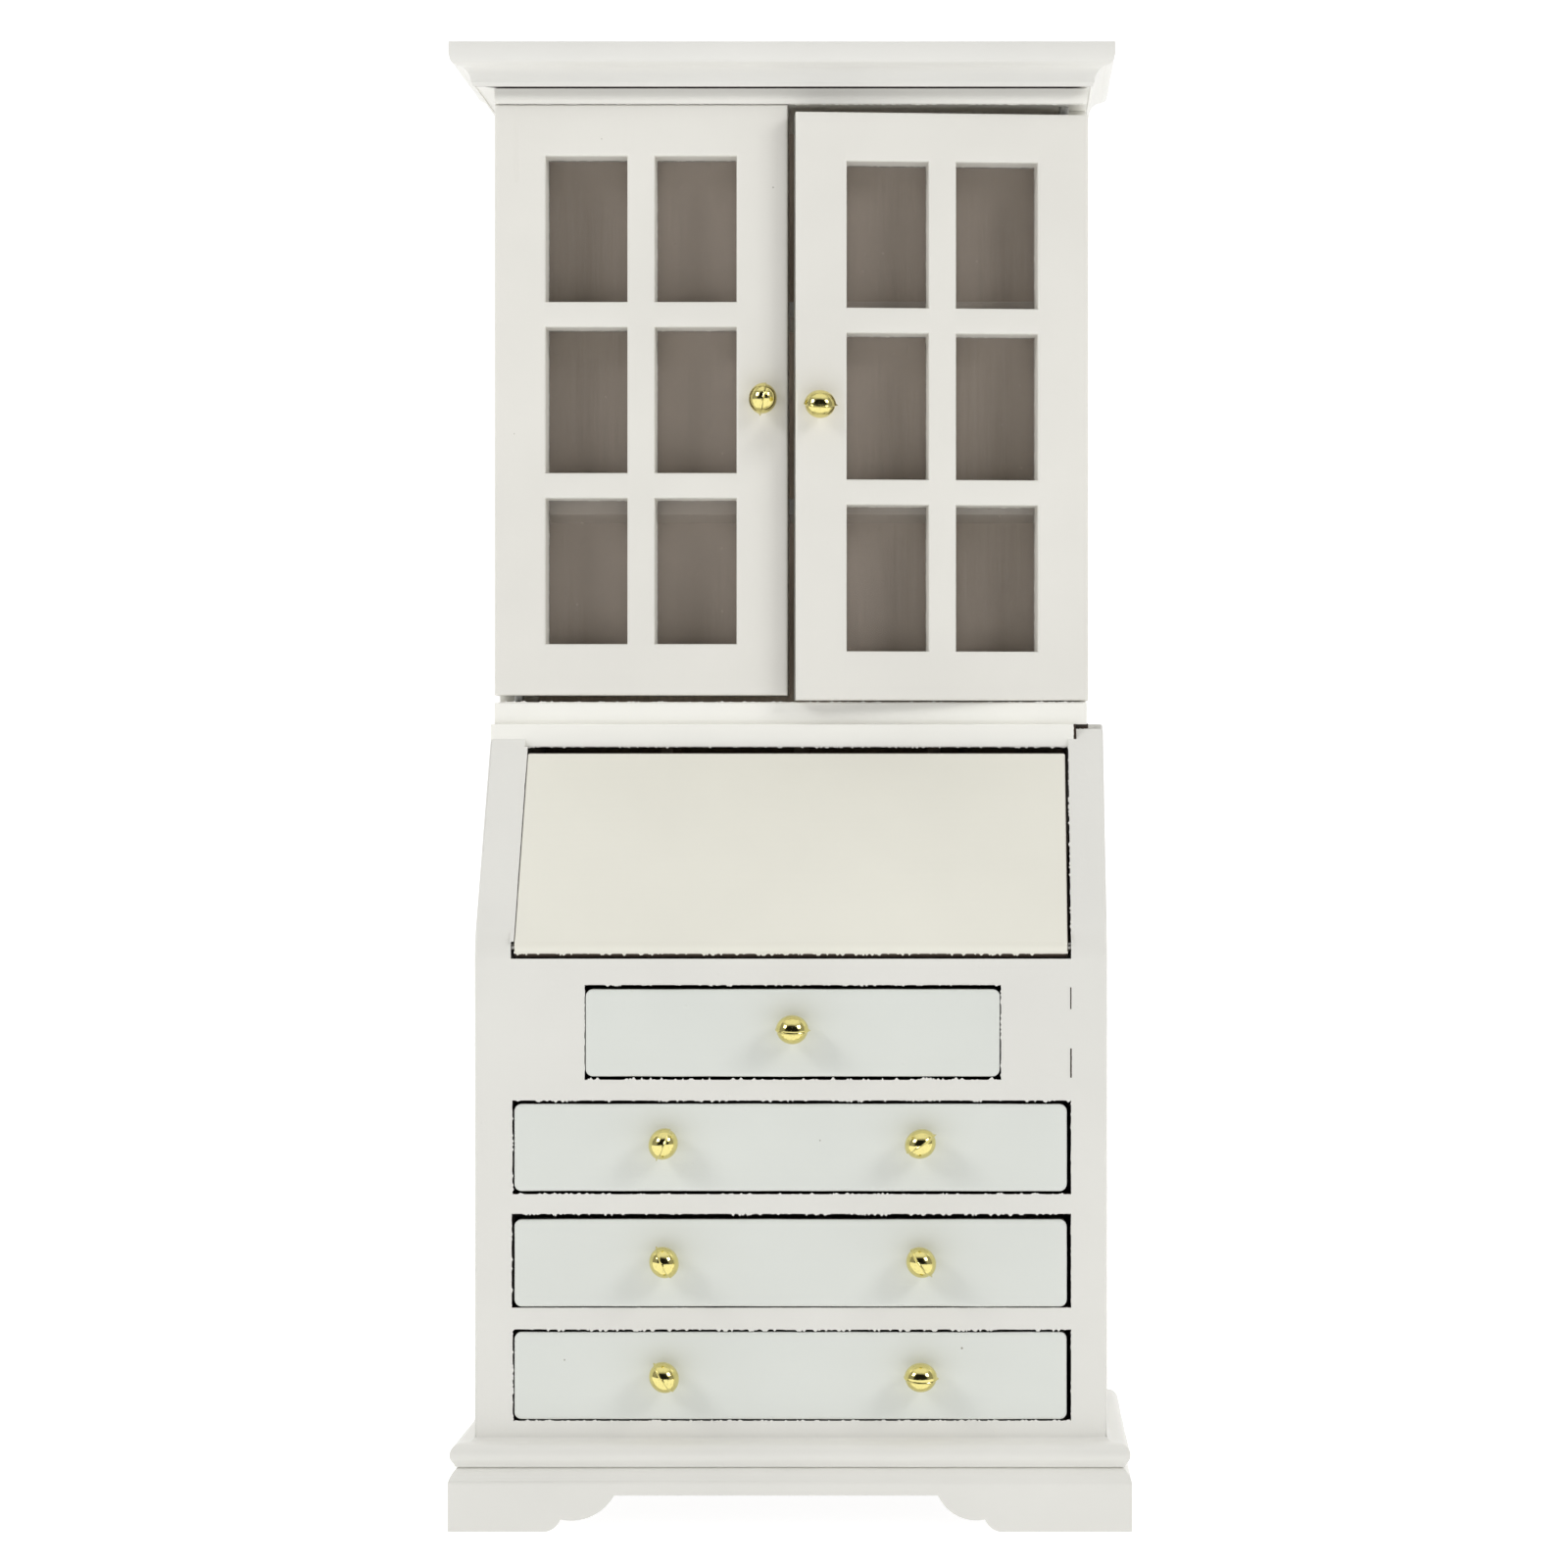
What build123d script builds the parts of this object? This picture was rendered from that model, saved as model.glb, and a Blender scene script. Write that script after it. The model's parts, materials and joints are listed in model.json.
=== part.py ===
from build123d import *
import math
import os

# Miniature secretary desk in 1:12 scale: a glazed cabinet on a desk with a fall-front lid and four drawers.
#
# Millimetres. X runs to the right, Y from the front to the back and Z up. While modelling, X is 0 in the
# middle of the desk, Y is 0 at the front edges of the desk's sides and Z is 0 on the floor. Every piece is
# moved at the end, so that the origin is on the floor under the middle of the whole object.

# ---- Overall sizes ----
height = 180.0
desk_width = 75.6
desk_depth = 47.0
desk_height = 96.3
cabinet_width = 73.2
cabinet_setback = 18.6
cabinet_offset = -0.8

# ---- Desk boards ----
side_thickness = 4.3
back_thickness = 2.0
rail_thickness = 2.3
writing_board_thickness = 3.1
desk_top_thickness = 2.8
desk_top_nosing = 0.9
desk_top_right_ledge = 3.5
side_top_drop = 0.6
side_top_drop_depth = 2.0
desk_top_end_gap = 0.2
slant_foot_lift = 2.1
bottom_board_thickness = 2.85
bottom_board_reveal = 1.85

# ---- Base ----
apron_height = 7.6
apron_projection = 2.9
apron_thickness = 4.0
apron_chamfer_width = 1.2
apron_chamfer_height = 1.9
apron_chamfer_bulge = (0.35, 0.45)
base_moulding_height = 3.3
base_moulding_projection = 2.7
bead_height = 2.7
bead_lift = 0.2
foot_width = 12.85
foot_toe_radius_x = 2.6
foot_toe_radius_z = 1.45
bracket_curve_x = 5.6
bracket_curve_z = 2.85
left_bracket_extra = 0.8
front_cutout_offset = -2.05
foot_block_size = 7.0

# ---- Drawers ----
long_drawer_count = 3
long_opening_height = 11.25
short_opening_height = 11.5
short_opening_width = 50.0
short_opening_offset = 0.2
drawer_front_thickness = 3.0
long_front_height_play = 0.75
short_front_height_play = 1.0
drawer_front_gaps_below = (0.5, 0.35, 0.1, 0.2)
long_front_gap_side = 0.4
short_front_gap_side = 0.2
drawer_front_proud = 0.2
drawer_corner_radius = 0.9
drawer_box_gap_side = 0.6
drawer_box_gap_above = 1.6
drawer_side_thickness = 2.0
drawer_bottom_thickness = 1.2
drawer_bottom_lift = 0.4
drawer_stop_gap = 1.0
long_knob_half_spacing = 15.3
knob_row_offset = 0.25
knob_lifts = (0.47, 0.57, 0.27, 0.03)

# ---- Lid ----
lid_thickness = 2.6
lid_gap_side = 0.4
lid_gap_below = 0.15
lid_gap_above = 1.8
lid_pin_radius = 0.5
lid_pin_reach = 2.5
lid_pin_seat = 3.0
lid_pin_end_play = 0.2

# ---- Desk interior ----
pigeonhole_board = 1.5
pigeonhole_lift = 12.1
pigeonhole_depth = 17.0
pigeonhole_dividers = 3

# ---- Cabinet boards ----
cabinet_side_thickness = 3.0
cabinet_bottom_thickness = 2.65
cabinet_top_thickness = 1.9
cabinet_back_thickness = 2.0
shelf_thickness = 2.0
shelf_gap = 1.3
shelf_count = 2

# ---- Cornice ----
crown_height = 5.15
crown_projection = 4.3
crown_offset = -0.9
crown_strip_seat = 3.0
crown_lip = 1.6
crown_lip_height = 0.5
crown_fillet_height = 2.1
crown_fillet_slope = 0.15
crown_lip_nose = 0.3
crown_quirk_width = 0.5
crown_cove_hollow = 0.2
cornice_board_recess = 0.4

# ---- Doors ----
door_thickness = 5.6
door_meeting_gap = 0.8
door_gap_behind = 0.5
stile_width = 6.3
pane_columns = 2
pane_rows = 3
muntin_vertical = 3.4
muntin_horizontal = 3.15
left_door_rail = 6.35
right_door_rail = 6.05
left_door_gap_below = 0.9
left_door_gap_above = 0.1
right_door_gap_below = 0.25
right_door_gap_above = 1.3
right_door_ajar = 4.5
door_front_corner_radius = 1.0
glass_thickness = 0.6
glass_overlap = 1.0
door_pin_radius = 0.6
door_pin_seat = 3.0
door_knob_inset = 2.9

# ---- Knobs ----
knob_radius = 1.9
knob_neck_radius = 0.95
knob_standoff = 0.5
knob_spigot_radius = 0.5
knob_spigot_length = 2.4

# ---- Fits ----
pin_clearance = 0.05

# ---- Derived sizes ----
desk_half = desk_width / 2
inside_half = desk_half - side_thickness
desk_inside_back = desk_depth - back_thickness
bottom_board_top = apron_height + base_moulding_height + bottom_board_reveal
row_pitch = long_opening_height + rail_thickness
long_front_height = long_opening_height - long_front_height_play
short_front_height = short_opening_height - short_front_height_play
short_opening = (
    short_opening_offset - short_opening_width / 2,
    short_opening_offset + short_opening_width / 2,
)
short_opening_floor = bottom_board_top + long_drawer_count * row_pitch
writing_board_bottom = short_opening_floor + short_opening_height
writing_board_top = writing_board_bottom + writing_board_thickness
desk_top_bottom = desk_height - desk_top_thickness
side_top = desk_height - side_top_drop
slant_foot = writing_board_top + slant_foot_lift
desk_top_front = cabinet_setback - desk_top_nosing
slant_angle = math.degrees(math.atan2(side_top - slant_foot, cabinet_setback))
lid_radius = lid_thickness / 2
lid_pivot_z = writing_board_top + lid_gap_below + lid_radius
lid_pivot_y = (
    (lid_pivot_z - slant_foot) / math.tan(math.radians(slant_angle))
    + lid_radius / math.sin(math.radians(slant_angle))
)
lid_length = (desk_top_bottom - lid_pivot_z) / math.sin(math.radians(slant_angle)) - lid_gap_above
pigeonhole_floor = writing_board_top + pigeonhole_lift
pigeonhole_front = desk_inside_back - pigeonhole_depth
cabinet_left = cabinet_offset - cabinet_width / 2
cabinet_right = cabinet_offset + cabinet_width / 2
cabinet_floor = desk_height + cabinet_bottom_thickness
cabinet_top = height - crown_height
cabinet_ceiling = cabinet_top - cabinet_top_thickness
cabinet_sides_front = cabinet_setback + door_thickness + door_gap_behind
cabinet_inside_back = desk_depth - cabinet_back_thickness
cabinet_inside_left = cabinet_left + cabinet_side_thickness
cabinet_inside_right = cabinet_right - cabinet_side_thickness
door_width = (cabinet_width - door_meeting_gap) / 2
pane_width = (door_width - 2 * stile_width - (pane_columns - 1) * muntin_vertical) / pane_columns
hinge_inset = door_thickness / 2
hinge_y = cabinet_setback + hinge_inset
base_half = desk_half + apron_projection
crown_middle = cabinet_offset + crown_offset
crown_half = cabinet_width / 2 + crown_projection
knob_reach = knob_standoff + 2 * knob_radius
leftmost = min(-base_half, crown_middle - crown_half)
rightmost = max(base_half, crown_middle + crown_half)
foremost = -drawer_front_proud - knob_reach
to_origin = Pos(-(leftmost + rightmost) / 2, -(foremost + desk_depth) / 2, 0)


# ---- Helpers ----
def block(x_range, y_range, z_range):
    """A box between the two values of each range."""
    size = [high - low for low, high in (x_range, y_range, z_range)]
    middle = [(low + high) / 2 for low, high in (x_range, y_range, z_range)]
    return Pos(*middle) * Box(*size)


def rod_x(x_range, y, z, radius):
    """A round bar along X."""
    length = x_range[1] - x_range[0]
    return Pos(sum(x_range) / 2, y, z) * Rot(0, 90, 0) * Cylinder(radius, length)


def rod_y(y_range, x, z, radius):
    """A round bar along Y."""
    length = y_range[1] - y_range[0]
    return Pos(x, sum(y_range) / 2, z) * Rot(90, 0, 0) * Cylinder(radius, length)


def rod_z(z_range, x, y, radius):
    """A round bar along Z."""
    length = z_range[1] - z_range[0]
    return Pos(x, y, sum(z_range) / 2) * Cylinder(radius, length)


def plan_prism(points, z_range):
    """An upright prism over a plan outline given as (x, y) points."""
    outline = Pos(0, 0, z_range[0]) * make_face(Polyline(*points, close=True))
    return extrude(outline, z_range[1] - z_range[0])


def side_prism(points, x_range):
    """A prism along X over an outline given as (y, z) points."""
    plane = Plane(origin=(x_range[0], 0, 0), x_dir=(0, 1, 0), z_dir=(1, 0, 0))
    return extrude(plane * make_face(Polyline(*points, close=True)), x_range[1] - x_range[0])


def moulding_ring(profile, middle_x, half_width, front_y, back_y, seat):
    """Front, left and right strips of one profile, mitred at the two front corners.

    The profile is a face in (outwards, up) coordinates, measured from a wall of the given half width, and
    it reaches inwards by the seat.
    """
    box = profile.bounding_box()
    reach = box.max.X
    z_range = (box.min.Y, box.max.Y)
    length = 2 * (half_width + reach) + (back_y - front_y)
    left_in, left_out = middle_x - half_width + seat, middle_x - half_width - reach
    right_in, right_out = middle_x + half_width - seat, middle_x + half_width + reach
    front_in, front_out = front_y + seat, front_y - reach
    plans = {
        "front": [(left_out, front_out), (right_out, front_out), (right_in, front_in), (left_in, front_in)],
        "left": [(left_out, front_out), (left_in, front_in), (left_in, back_y), (left_out, back_y)],
        "right": [(right_out, front_out), (right_out, back_y), (right_in, back_y), (right_in, front_in)],
    }
    planes = {
        "front": Plane(origin=(middle_x, front_y, 0), x_dir=(0, -1, 0), z_dir=(-1, 0, 0)),
        "left": Plane(origin=(middle_x - half_width, back_y, 0), x_dir=(-1, 0, 0), z_dir=(0, 1, 0)),
        "right": Plane(origin=(middle_x + half_width, back_y, 0), x_dir=(1, 0, 0), z_dir=(0, -1, 0)),
    }
    strips = {}
    for side, plan in plans.items():
        bar = extrude(planes[side] * profile, length, both=True)
        strips[side] = bar & plan_prism(plan, z_range)
    return strips


def save(name, *solids):
    """Write one sub-part, made of one or more separate solids, in the object's own frame."""
    moved = [to_origin * piece for solid in solids for piece in solid.solids()]
    shape = moved[0] if len(moved) == 1 else Compound(children=moved)
    export_step(shape, f"parts/{name}.step")


# ---- Knobs ----
def knob(x, face_y, z):
    """A moulded ball on a short neck, with a spigot that is glued into the wood behind it."""
    ball_y = face_y - knob_standoff - knob_radius
    ball = Pos(x, ball_y, z) * Sphere(knob_radius)
    neck = rod_y((ball_y, face_y), x, z, knob_neck_radius)
    spigot = rod_y((face_y, face_y + knob_spigot_length), x, z, knob_spigot_radius)
    return ball + neck + spigot


def knob_hole(x, face_y, z):
    """The hole that the knob's spigot fills."""
    return rod_y((face_y, face_y + knob_spigot_length), x, z, knob_spigot_radius)


# ---- Base ----
def base_moulding_profile():
    """A half-round bead on a flat step, with a small sloping shoulder up to the desk."""
    top = apron_height + base_moulding_height
    bead_bottom = apron_height + bead_lift
    bead_top = bead_bottom + bead_height
    bead_start = base_moulding_projection - bead_height / 2
    arc = ThreePointArc(
        (bead_start, bead_bottom),
        (base_moulding_projection, (bead_bottom + bead_top) / 2),
        (bead_start, bead_top),
    )
    edges = Polyline((bead_start, bead_top), (0, top), (0, apron_height), (bead_start, apron_height))
    step = Line((bead_start, apron_height), (bead_start, bead_bottom))
    return make_face(Curve() + arc + edges + step)


def apron_profile():
    """An upright board with a hollow chamfer along its upper outside edge."""
    inner = apron_projection - apron_thickness
    chamfer_foot = apron_height - apron_chamfer_height
    chamfer_top = apron_projection - apron_chamfer_width
    bulge = (
        apron_projection - apron_chamfer_bulge[0] * apron_chamfer_width,
        apron_height - apron_chamfer_bulge[1] * apron_chamfer_height,
    )
    curve = ThreePointArc((apron_projection, chamfer_foot), bulge, (chamfer_top, apron_height))
    edges = Polyline(
        (chamfer_top, apron_height), (inner, apron_height), (inner, 0), (apron_projection, 0),
        (apron_projection, chamfer_foot),
    )
    return make_face(Curve() + curve + edges)


def bracket_cutout(half_opening, left_extra=0):
    """Face between two bracket feet: toes rounded at the floor, then a step and a quarter-ellipse up.

    The left extra makes the left foot's upper curve that much longer.
    """
    step = half_opening - foot_toe_radius_x
    crest = foot_toe_radius_z + bracket_curve_z
    below = -apron_height
    root = math.sqrt(0.5)
    curve_lengths = {-1: bracket_curve_x + left_extra, 1: bracket_curve_x}
    shoulders = {side: step - length for side, length in curve_lengths.items()}
    pieces = [Line((-shoulders[-1], crest), (shoulders[1], crest))]
    for side in (-1, 1):
        shoulder = shoulders[side]
        curve_bulge = (step - curve_lengths[side] * root, crest - bracket_curve_z * root)
        toe_bulge = (half_opening - foot_toe_radius_x * root, foot_toe_radius_z * (1 - root))
        pieces.append(ThreePointArc(
            (side * shoulder, crest), (side * curve_bulge[0], curve_bulge[1]), (side * step, foot_toe_radius_z)
        ))
        pieces.append(ThreePointArc(
            (side * step, foot_toe_radius_z), (side * toe_bulge[0], toe_bulge[1]), (side * half_opening, 0)
        ))
        pieces.append(Line((side * half_opening, 0), (side * half_opening, below)))
    pieces.append(Line((-half_opening, below), (half_opening, below)))
    return make_face(Curve() + pieces)


def make_base():
    """Aprons with bracket feet, the glue blocks behind the feet and the moulding above them."""
    mouldings = moulding_ring(base_moulding_profile(), 0, desk_half, 0, desk_depth, 0)
    for side, strip in mouldings.items():
        save(f"base_moulding_{side}", strip)

    aprons = moulding_ring(
        apron_profile(), 0, desk_half, 0, desk_depth, apron_thickness - apron_projection
    )
    front_plane = Plane(origin=(front_cutout_offset, 0, 0), x_dir=(1, 0, 0), z_dir=(0, -1, 0))
    front_face = bracket_cutout(base_half - foot_width, left_bracket_extra)
    front_cut = extrude(front_plane * front_face, 2 * apron_thickness, both=True)
    side_middle = (desk_depth - apron_projection) / 2
    side_plane = Plane(origin=(0, side_middle, 0), x_dir=(0, 1, 0), z_dir=(1, 0, 0))
    side_half = (desk_depth + apron_projection) / 2 - foot_width
    side_cut = extrude(side_plane * bracket_cutout(side_half), 2 * base_half, both=True)
    save("apron_front", aprons["front"] - front_cut)
    save("apron_left", aprons["left"] - side_cut)
    save("apron_right", aprons["right"] - side_cut)

    inner_half = desk_half - (apron_thickness - apron_projection)
    inner_front = apron_thickness - apron_projection
    blocks = []
    for side in (-1, 1):
        x_range = sorted((side * inner_half, side * (inner_half - foot_block_size)))
        for y in (inner_front, desk_depth - foot_block_size):
            blocks.append(block(x_range, (y, y + foot_block_size), (0, apron_height)))
    save("foot_blocks", *blocks)


# ---- Desk case ----
def desk_side(side):
    """A desk side with its slanted front edge, cut down for the desk top board and drilled for the lid."""
    drop_end = cabinet_setback + side_top_drop_depth
    outline = [
        (0, apron_height), (desk_depth, apron_height), (desk_depth, desk_height),
        (drop_end, desk_height), (drop_end, side_top), (cabinet_setback, side_top), (0, slant_foot),
    ]
    x_range = sorted((side * inside_half, side * desk_half))
    panel = side_prism(outline, x_range) - desk_top_board(desk_top_end_gap)
    hole_range = sorted((side * inside_half, side * (inside_half + lid_pin_reach + lid_pin_end_play)))
    return panel - rod_x(hole_range, lid_pivot_y, lid_pivot_z, lid_pin_radius + pin_clearance)


def desk_top_board(end_gap=0):
    """The board that covers the desk: flush on the left, short of the right side's outer face.

    The end gap makes it longer at the right, for the notch that it lies in.
    """
    return block(
        (-desk_half, desk_half - desk_top_right_ledge + end_gap), (desk_top_front, desk_depth),
        (desk_top_bottom, desk_height),
    )


def make_desk_case():
    """Sides, boards, blocks, back panel and pigeonholes of the desk."""
    save("desk_side_left", desk_side(-1))
    save("desk_side_right", desk_side(1))
    save("desk_top_board", desk_top_board())
    inside = (-inside_half, inside_half)
    depth = (0, desk_inside_back)
    bottom_board_height = (bottom_board_top - bottom_board_thickness, bottom_board_top)
    save("desk_bottom_board", block(inside, depth, bottom_board_height))
    for row in range(long_drawer_count):
        rail_top = bottom_board_top + (row + 1) * row_pitch
        number = long_drawer_count - row
        save(f"drawer_rail_{number}", block(inside, depth, (rail_top - rail_thickness, rail_top)))
    save("writing_board", block(inside, depth, (writing_board_bottom, writing_board_top)))
    block_height = (short_opening_floor, writing_board_bottom)
    save(
        "filler_blocks",
        block((-inside_half, short_opening[0]), depth, block_height),
        block((short_opening[1], inside_half), depth, block_height),
    )
    save("desk_back_panel", block(inside, (desk_inside_back, desk_depth), (apron_height, desk_top_bottom)))

    shelf_top = pigeonhole_floor + pigeonhole_board
    shelf_depth = (pigeonhole_front, desk_inside_back)
    save("pigeonhole_shelf", block(inside, shelf_depth, (pigeonhole_floor, shelf_top)))
    pitch = 2 * inside_half / (pigeonhole_dividers + 1)
    dividers = []
    for number in range(pigeonhole_dividers):
        middle = -inside_half + (number + 1) * pitch
        x_range = (middle - pigeonhole_board / 2, middle + pigeonhole_board / 2)
        dividers.append(block(x_range, shelf_depth, (shelf_top, desk_top_bottom)))
    save("pigeonhole_dividers", *dividers)


# ---- Lid ----
def make_lid():
    """The fall-front lid, closed along the slant, rounded about its pins at the lower end."""
    pose = Pos(0, lid_pivot_y, lid_pivot_z) * Rot(slant_angle - 90, 0, 0)
    half = inside_half - lid_gap_side
    slab = block((-half, half), (-lid_radius, lid_radius), (0, lid_length))
    panel = slab + rod_x((-half, half), 0, 0, lid_radius)
    pins = []
    for side in (-1, 1):
        span = sorted((side * (half - lid_pin_seat), side * (inside_half + lid_pin_reach)))
        pin = rod_x(span, 0, 0, lid_pin_radius)
        pins.append(pin)
        panel -= pin
    save("lid_panel", pose * panel)
    save("lid_pins", *[pose * pin for pin in pins])


# ---- Drawers ----
def make_drawer(number, opening_x, opening_floor, opening_height, front_height, gap_side, knob_places):
    """A drawer: rounded front, two sides, back, bottom and its knobs."""
    front_x = (opening_x[0] + gap_side, opening_x[1] - gap_side)
    front_floor = opening_floor + drawer_front_gaps_below[number - 1]
    front_z = (front_floor, front_floor + front_height)
    face_y = -drawer_front_proud
    front_back = face_y + drawer_front_thickness
    front = block(front_x, (face_y, front_back), front_z)
    front = fillet(front.edges().filter_by(Axis.Y), drawer_corner_radius)
    knob_z = sum(front_z) / 2 + knob_lifts[number - 1]
    for x in knob_places:
        front -= knob_hole(x, face_y, knob_z)
    save(f"drawer_{number}_front", front)
    save(f"drawer_{number}_knobs", *[knob(x, face_y, knob_z) for x in knob_places])

    box_x = (opening_x[0] + drawer_box_gap_side, opening_x[1] - drawer_box_gap_side)
    inner_x = (box_x[0] + drawer_side_thickness, box_x[1] - drawer_side_thickness)
    box_z = (front_z[0], opening_floor + opening_height - drawer_box_gap_above)
    box_y = (front_back, desk_inside_back - drawer_stop_gap)
    back_y = (box_y[1] - drawer_side_thickness, box_y[1])
    floor_z = (box_z[0] + drawer_bottom_lift, box_z[0] + drawer_bottom_lift + drawer_bottom_thickness)
    left_side = block((box_x[0], inner_x[0]), box_y, box_z)
    right_side = block((inner_x[1], box_x[1]), box_y, box_z)
    save(f"drawer_{number}_sides", left_side, right_side)
    save(f"drawer_{number}_back", block(inner_x, back_y, box_z))
    save(f"drawer_{number}_bottom", block(inner_x, (front_back, back_y[0]), floor_z))


def make_drawers():
    """The short drawer is number 1 and the long drawers below it are 2 to 4."""
    make_drawer(
        1, short_opening, short_opening_floor, short_opening_height, short_front_height,
        short_front_gap_side, [knob_row_offset]
    )
    for row in range(long_drawer_count):
        floor = bottom_board_top + row * row_pitch
        knobs = [knob_row_offset + end * long_knob_half_spacing for end in (-1, 1)]
        number = long_drawer_count + 1 - row
        opening_x = (-inside_half, inside_half)
        make_drawer(
            number, opening_x, floor, long_opening_height, long_front_height, long_front_gap_side, knobs
        )


# ---- Cabinet case ----
def door_pin_places():
    """Plan positions of the left and right door's hinge pins."""
    return {
        "left": (cabinet_left + hinge_inset, hinge_y),
        "right": (cabinet_right - hinge_inset, hinge_y),
    }


def drill_for_pins(board, z_range):
    """Holes through a board for both doors' pins."""
    for x, y in door_pin_places().values():
        board -= rod_z(z_range, x, y, door_pin_radius + pin_clearance)
    return board


def make_cabinet_case():
    """Top, bottom, sides, back and shelves of the cabinet."""
    x_range = (cabinet_left, cabinet_right)
    depth = (cabinet_setback, desk_depth)
    bottom_z = (desk_height, cabinet_floor)
    top_z = (cabinet_ceiling, cabinet_top)
    save("cabinet_bottom_board", drill_for_pins(block(x_range, depth, bottom_z), bottom_z))
    save("cabinet_top_board", drill_for_pins(block(x_range, depth, top_z), top_z))
    inside_z = (cabinet_floor, cabinet_ceiling)
    sides_depth = (cabinet_sides_front, desk_depth)
    save("cabinet_side_left", block((cabinet_left, cabinet_inside_left), sides_depth, inside_z))
    save("cabinet_side_right", block((cabinet_inside_right, cabinet_right), sides_depth, inside_z))
    inside_x = (cabinet_inside_left, cabinet_inside_right)
    save("cabinet_back_panel", block(inside_x, (cabinet_inside_back, desk_depth), inside_z))
    shelf_depth = (cabinet_sides_front + shelf_gap, cabinet_inside_back)
    pitch = (cabinet_ceiling - cabinet_floor) / (shelf_count + 1)
    for number in range(shelf_count):
        middle = cabinet_floor + (number + 1) * pitch
        z_range = (middle - shelf_thickness / 2, middle + shelf_thickness / 2)
        save(f"shelf_{number + 1}", block(inside_x, shelf_depth, z_range))


# ---- Doors ----
def make_door(side, x_range, z_range, rail_height, ajar):
    """A glazed door on two pins. Side is -1 for the left door, hinged on its left, and 1 for the right."""
    name = "door_left" if side < 0 else "door_right"
    y_range = (cabinet_setback, cabinet_setback + door_thickness)
    floor, top = z_range
    muntins = (pane_rows - 1) * muntin_horizontal
    pane_height = (top - floor - 2 * rail_height - muntins) / pane_rows
    hinge_x = x_range[0] + hinge_inset if side < 0 else x_range[1] - hinge_inset
    outer_x = x_range[0] if side < 0 else x_range[1]

    frame = block(x_range, y_range, z_range)
    for corner_y, radius in ((y_range[0], door_front_corner_radius), (y_range[1], hinge_inset)):
        corner = (outer_x, corner_y, (floor + top) / 2)
        frame = fillet(frame.edges().sort_by_distance(corner)[0], radius)

    first_x = x_range[0] + stile_width
    first_z = floor + rail_height
    for column in range(pane_columns):
        left = first_x + column * (pane_width + muntin_vertical)
        for row in range(pane_rows):
            low = first_z + row * (pane_height + muntin_horizontal)
            frame -= block((left, left + pane_width), y_range, (low, low + pane_height))

    glass = block(
        (x_range[0] + stile_width - glass_overlap, x_range[1] - stile_width + glass_overlap),
        (y_range[1] - glass_thickness, y_range[1]),
        (floor + rail_height - glass_overlap, top - rail_height + glass_overlap),
    )
    frame -= glass

    low_pin = rod_z((desk_height, floor + door_pin_seat), hinge_x, hinge_y, door_pin_radius)
    high_pin = rod_z((top - door_pin_seat, cabinet_top), hinge_x, hinge_y, door_pin_radius)
    frame -= low_pin
    frame -= high_pin

    meeting_x = x_range[1] if side < 0 else x_range[0]
    knob_x = meeting_x + side * door_knob_inset
    knob_z = (floor + top) / 2
    frame -= knob_hole(knob_x, cabinet_setback, knob_z)

    swing = Pos(hinge_x, hinge_y, 0) * Rot(0, 0, side * ajar) * Pos(-hinge_x, -hinge_y, 0)
    save(f"{name}_frame", swing * frame)
    save(f"{name}_glass", swing * glass)
    save(f"{name}_pins", swing * low_pin, swing * high_pin)
    save(f"{name}_knob", swing * knob(knob_x, cabinet_setback, knob_z))


def make_doors():
    """Two doors of the same width. The right one is trimmed shorter, hangs lower and stands ajar."""
    left_x = (cabinet_left, cabinet_left + door_width)
    right_x = (cabinet_right - door_width, cabinet_right)
    left_z = (cabinet_floor + left_door_gap_below, cabinet_ceiling - left_door_gap_above)
    right_z = (cabinet_floor + right_door_gap_below, cabinet_ceiling - right_door_gap_above)
    make_door(-1, left_x, left_z, left_door_rail, 0)
    make_door(1, right_x, right_z, right_door_rail, right_door_ajar)


# ---- Cornice ----
def crown_profile():
    """A crown moulding: lip, hollow cove, small shoulder and a flat fillet at the top."""
    low = cabinet_top
    fillet_foot = height - crown_fillet_height
    cove_start = (crown_lip + crown_lip_nose, low + crown_lip_height)
    cove_end = (crown_projection - crown_quirk_width, fillet_foot - crown_fillet_slope)
    cove_middle = (
        (cove_start[0] + cove_end[0]) / 2 - crown_cove_hollow * (cove_end[1] - cove_start[1]),
        (cove_start[1] + cove_end[1]) / 2 + crown_cove_hollow * (cove_end[0] - cove_start[0]),
    )
    cove = ThreePointArc(cove_start, cove_middle, cove_end)
    edges = Polyline(
        cove_end, (crown_projection - crown_fillet_slope, fillet_foot), (crown_projection, height),
        (-crown_strip_seat, height), (-crown_strip_seat, low), (crown_lip, low), cove_start,
    )
    return make_face(Curve() + cove + edges)


def make_cornice():
    """Crown strips around a board that lies on the cabinet's top board, all a little to the left."""
    strips = moulding_ring(
        crown_profile(), crown_middle, cabinet_width / 2, cabinet_setback, desk_depth, crown_strip_seat
    )
    for side, strip in strips.items():
        save(f"crown_{side}", strip)
    half = cabinet_width / 2 - crown_strip_seat
    save("cornice_board", block(
        (crown_middle - half, crown_middle + half), (cabinet_setback + crown_strip_seat, desk_depth),
        (cabinet_top, height - cornice_board_recess),
    ))


os.makedirs("parts", exist_ok=True)
make_base()
make_desk_case()
make_lid()
make_drawers()
make_cabinet_case()
make_doors()
make_cornice()
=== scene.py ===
"""Miniature white painted secretary desk: its surfaces, paint, gilding and panes, and the light on it.

Run as a script it builds every piece in order; its operators and sizes are laid out as an add-on's.
Metres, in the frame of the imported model: X to the right, -Y towards the viewer, Z up.
"""

import json
import math

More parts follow.
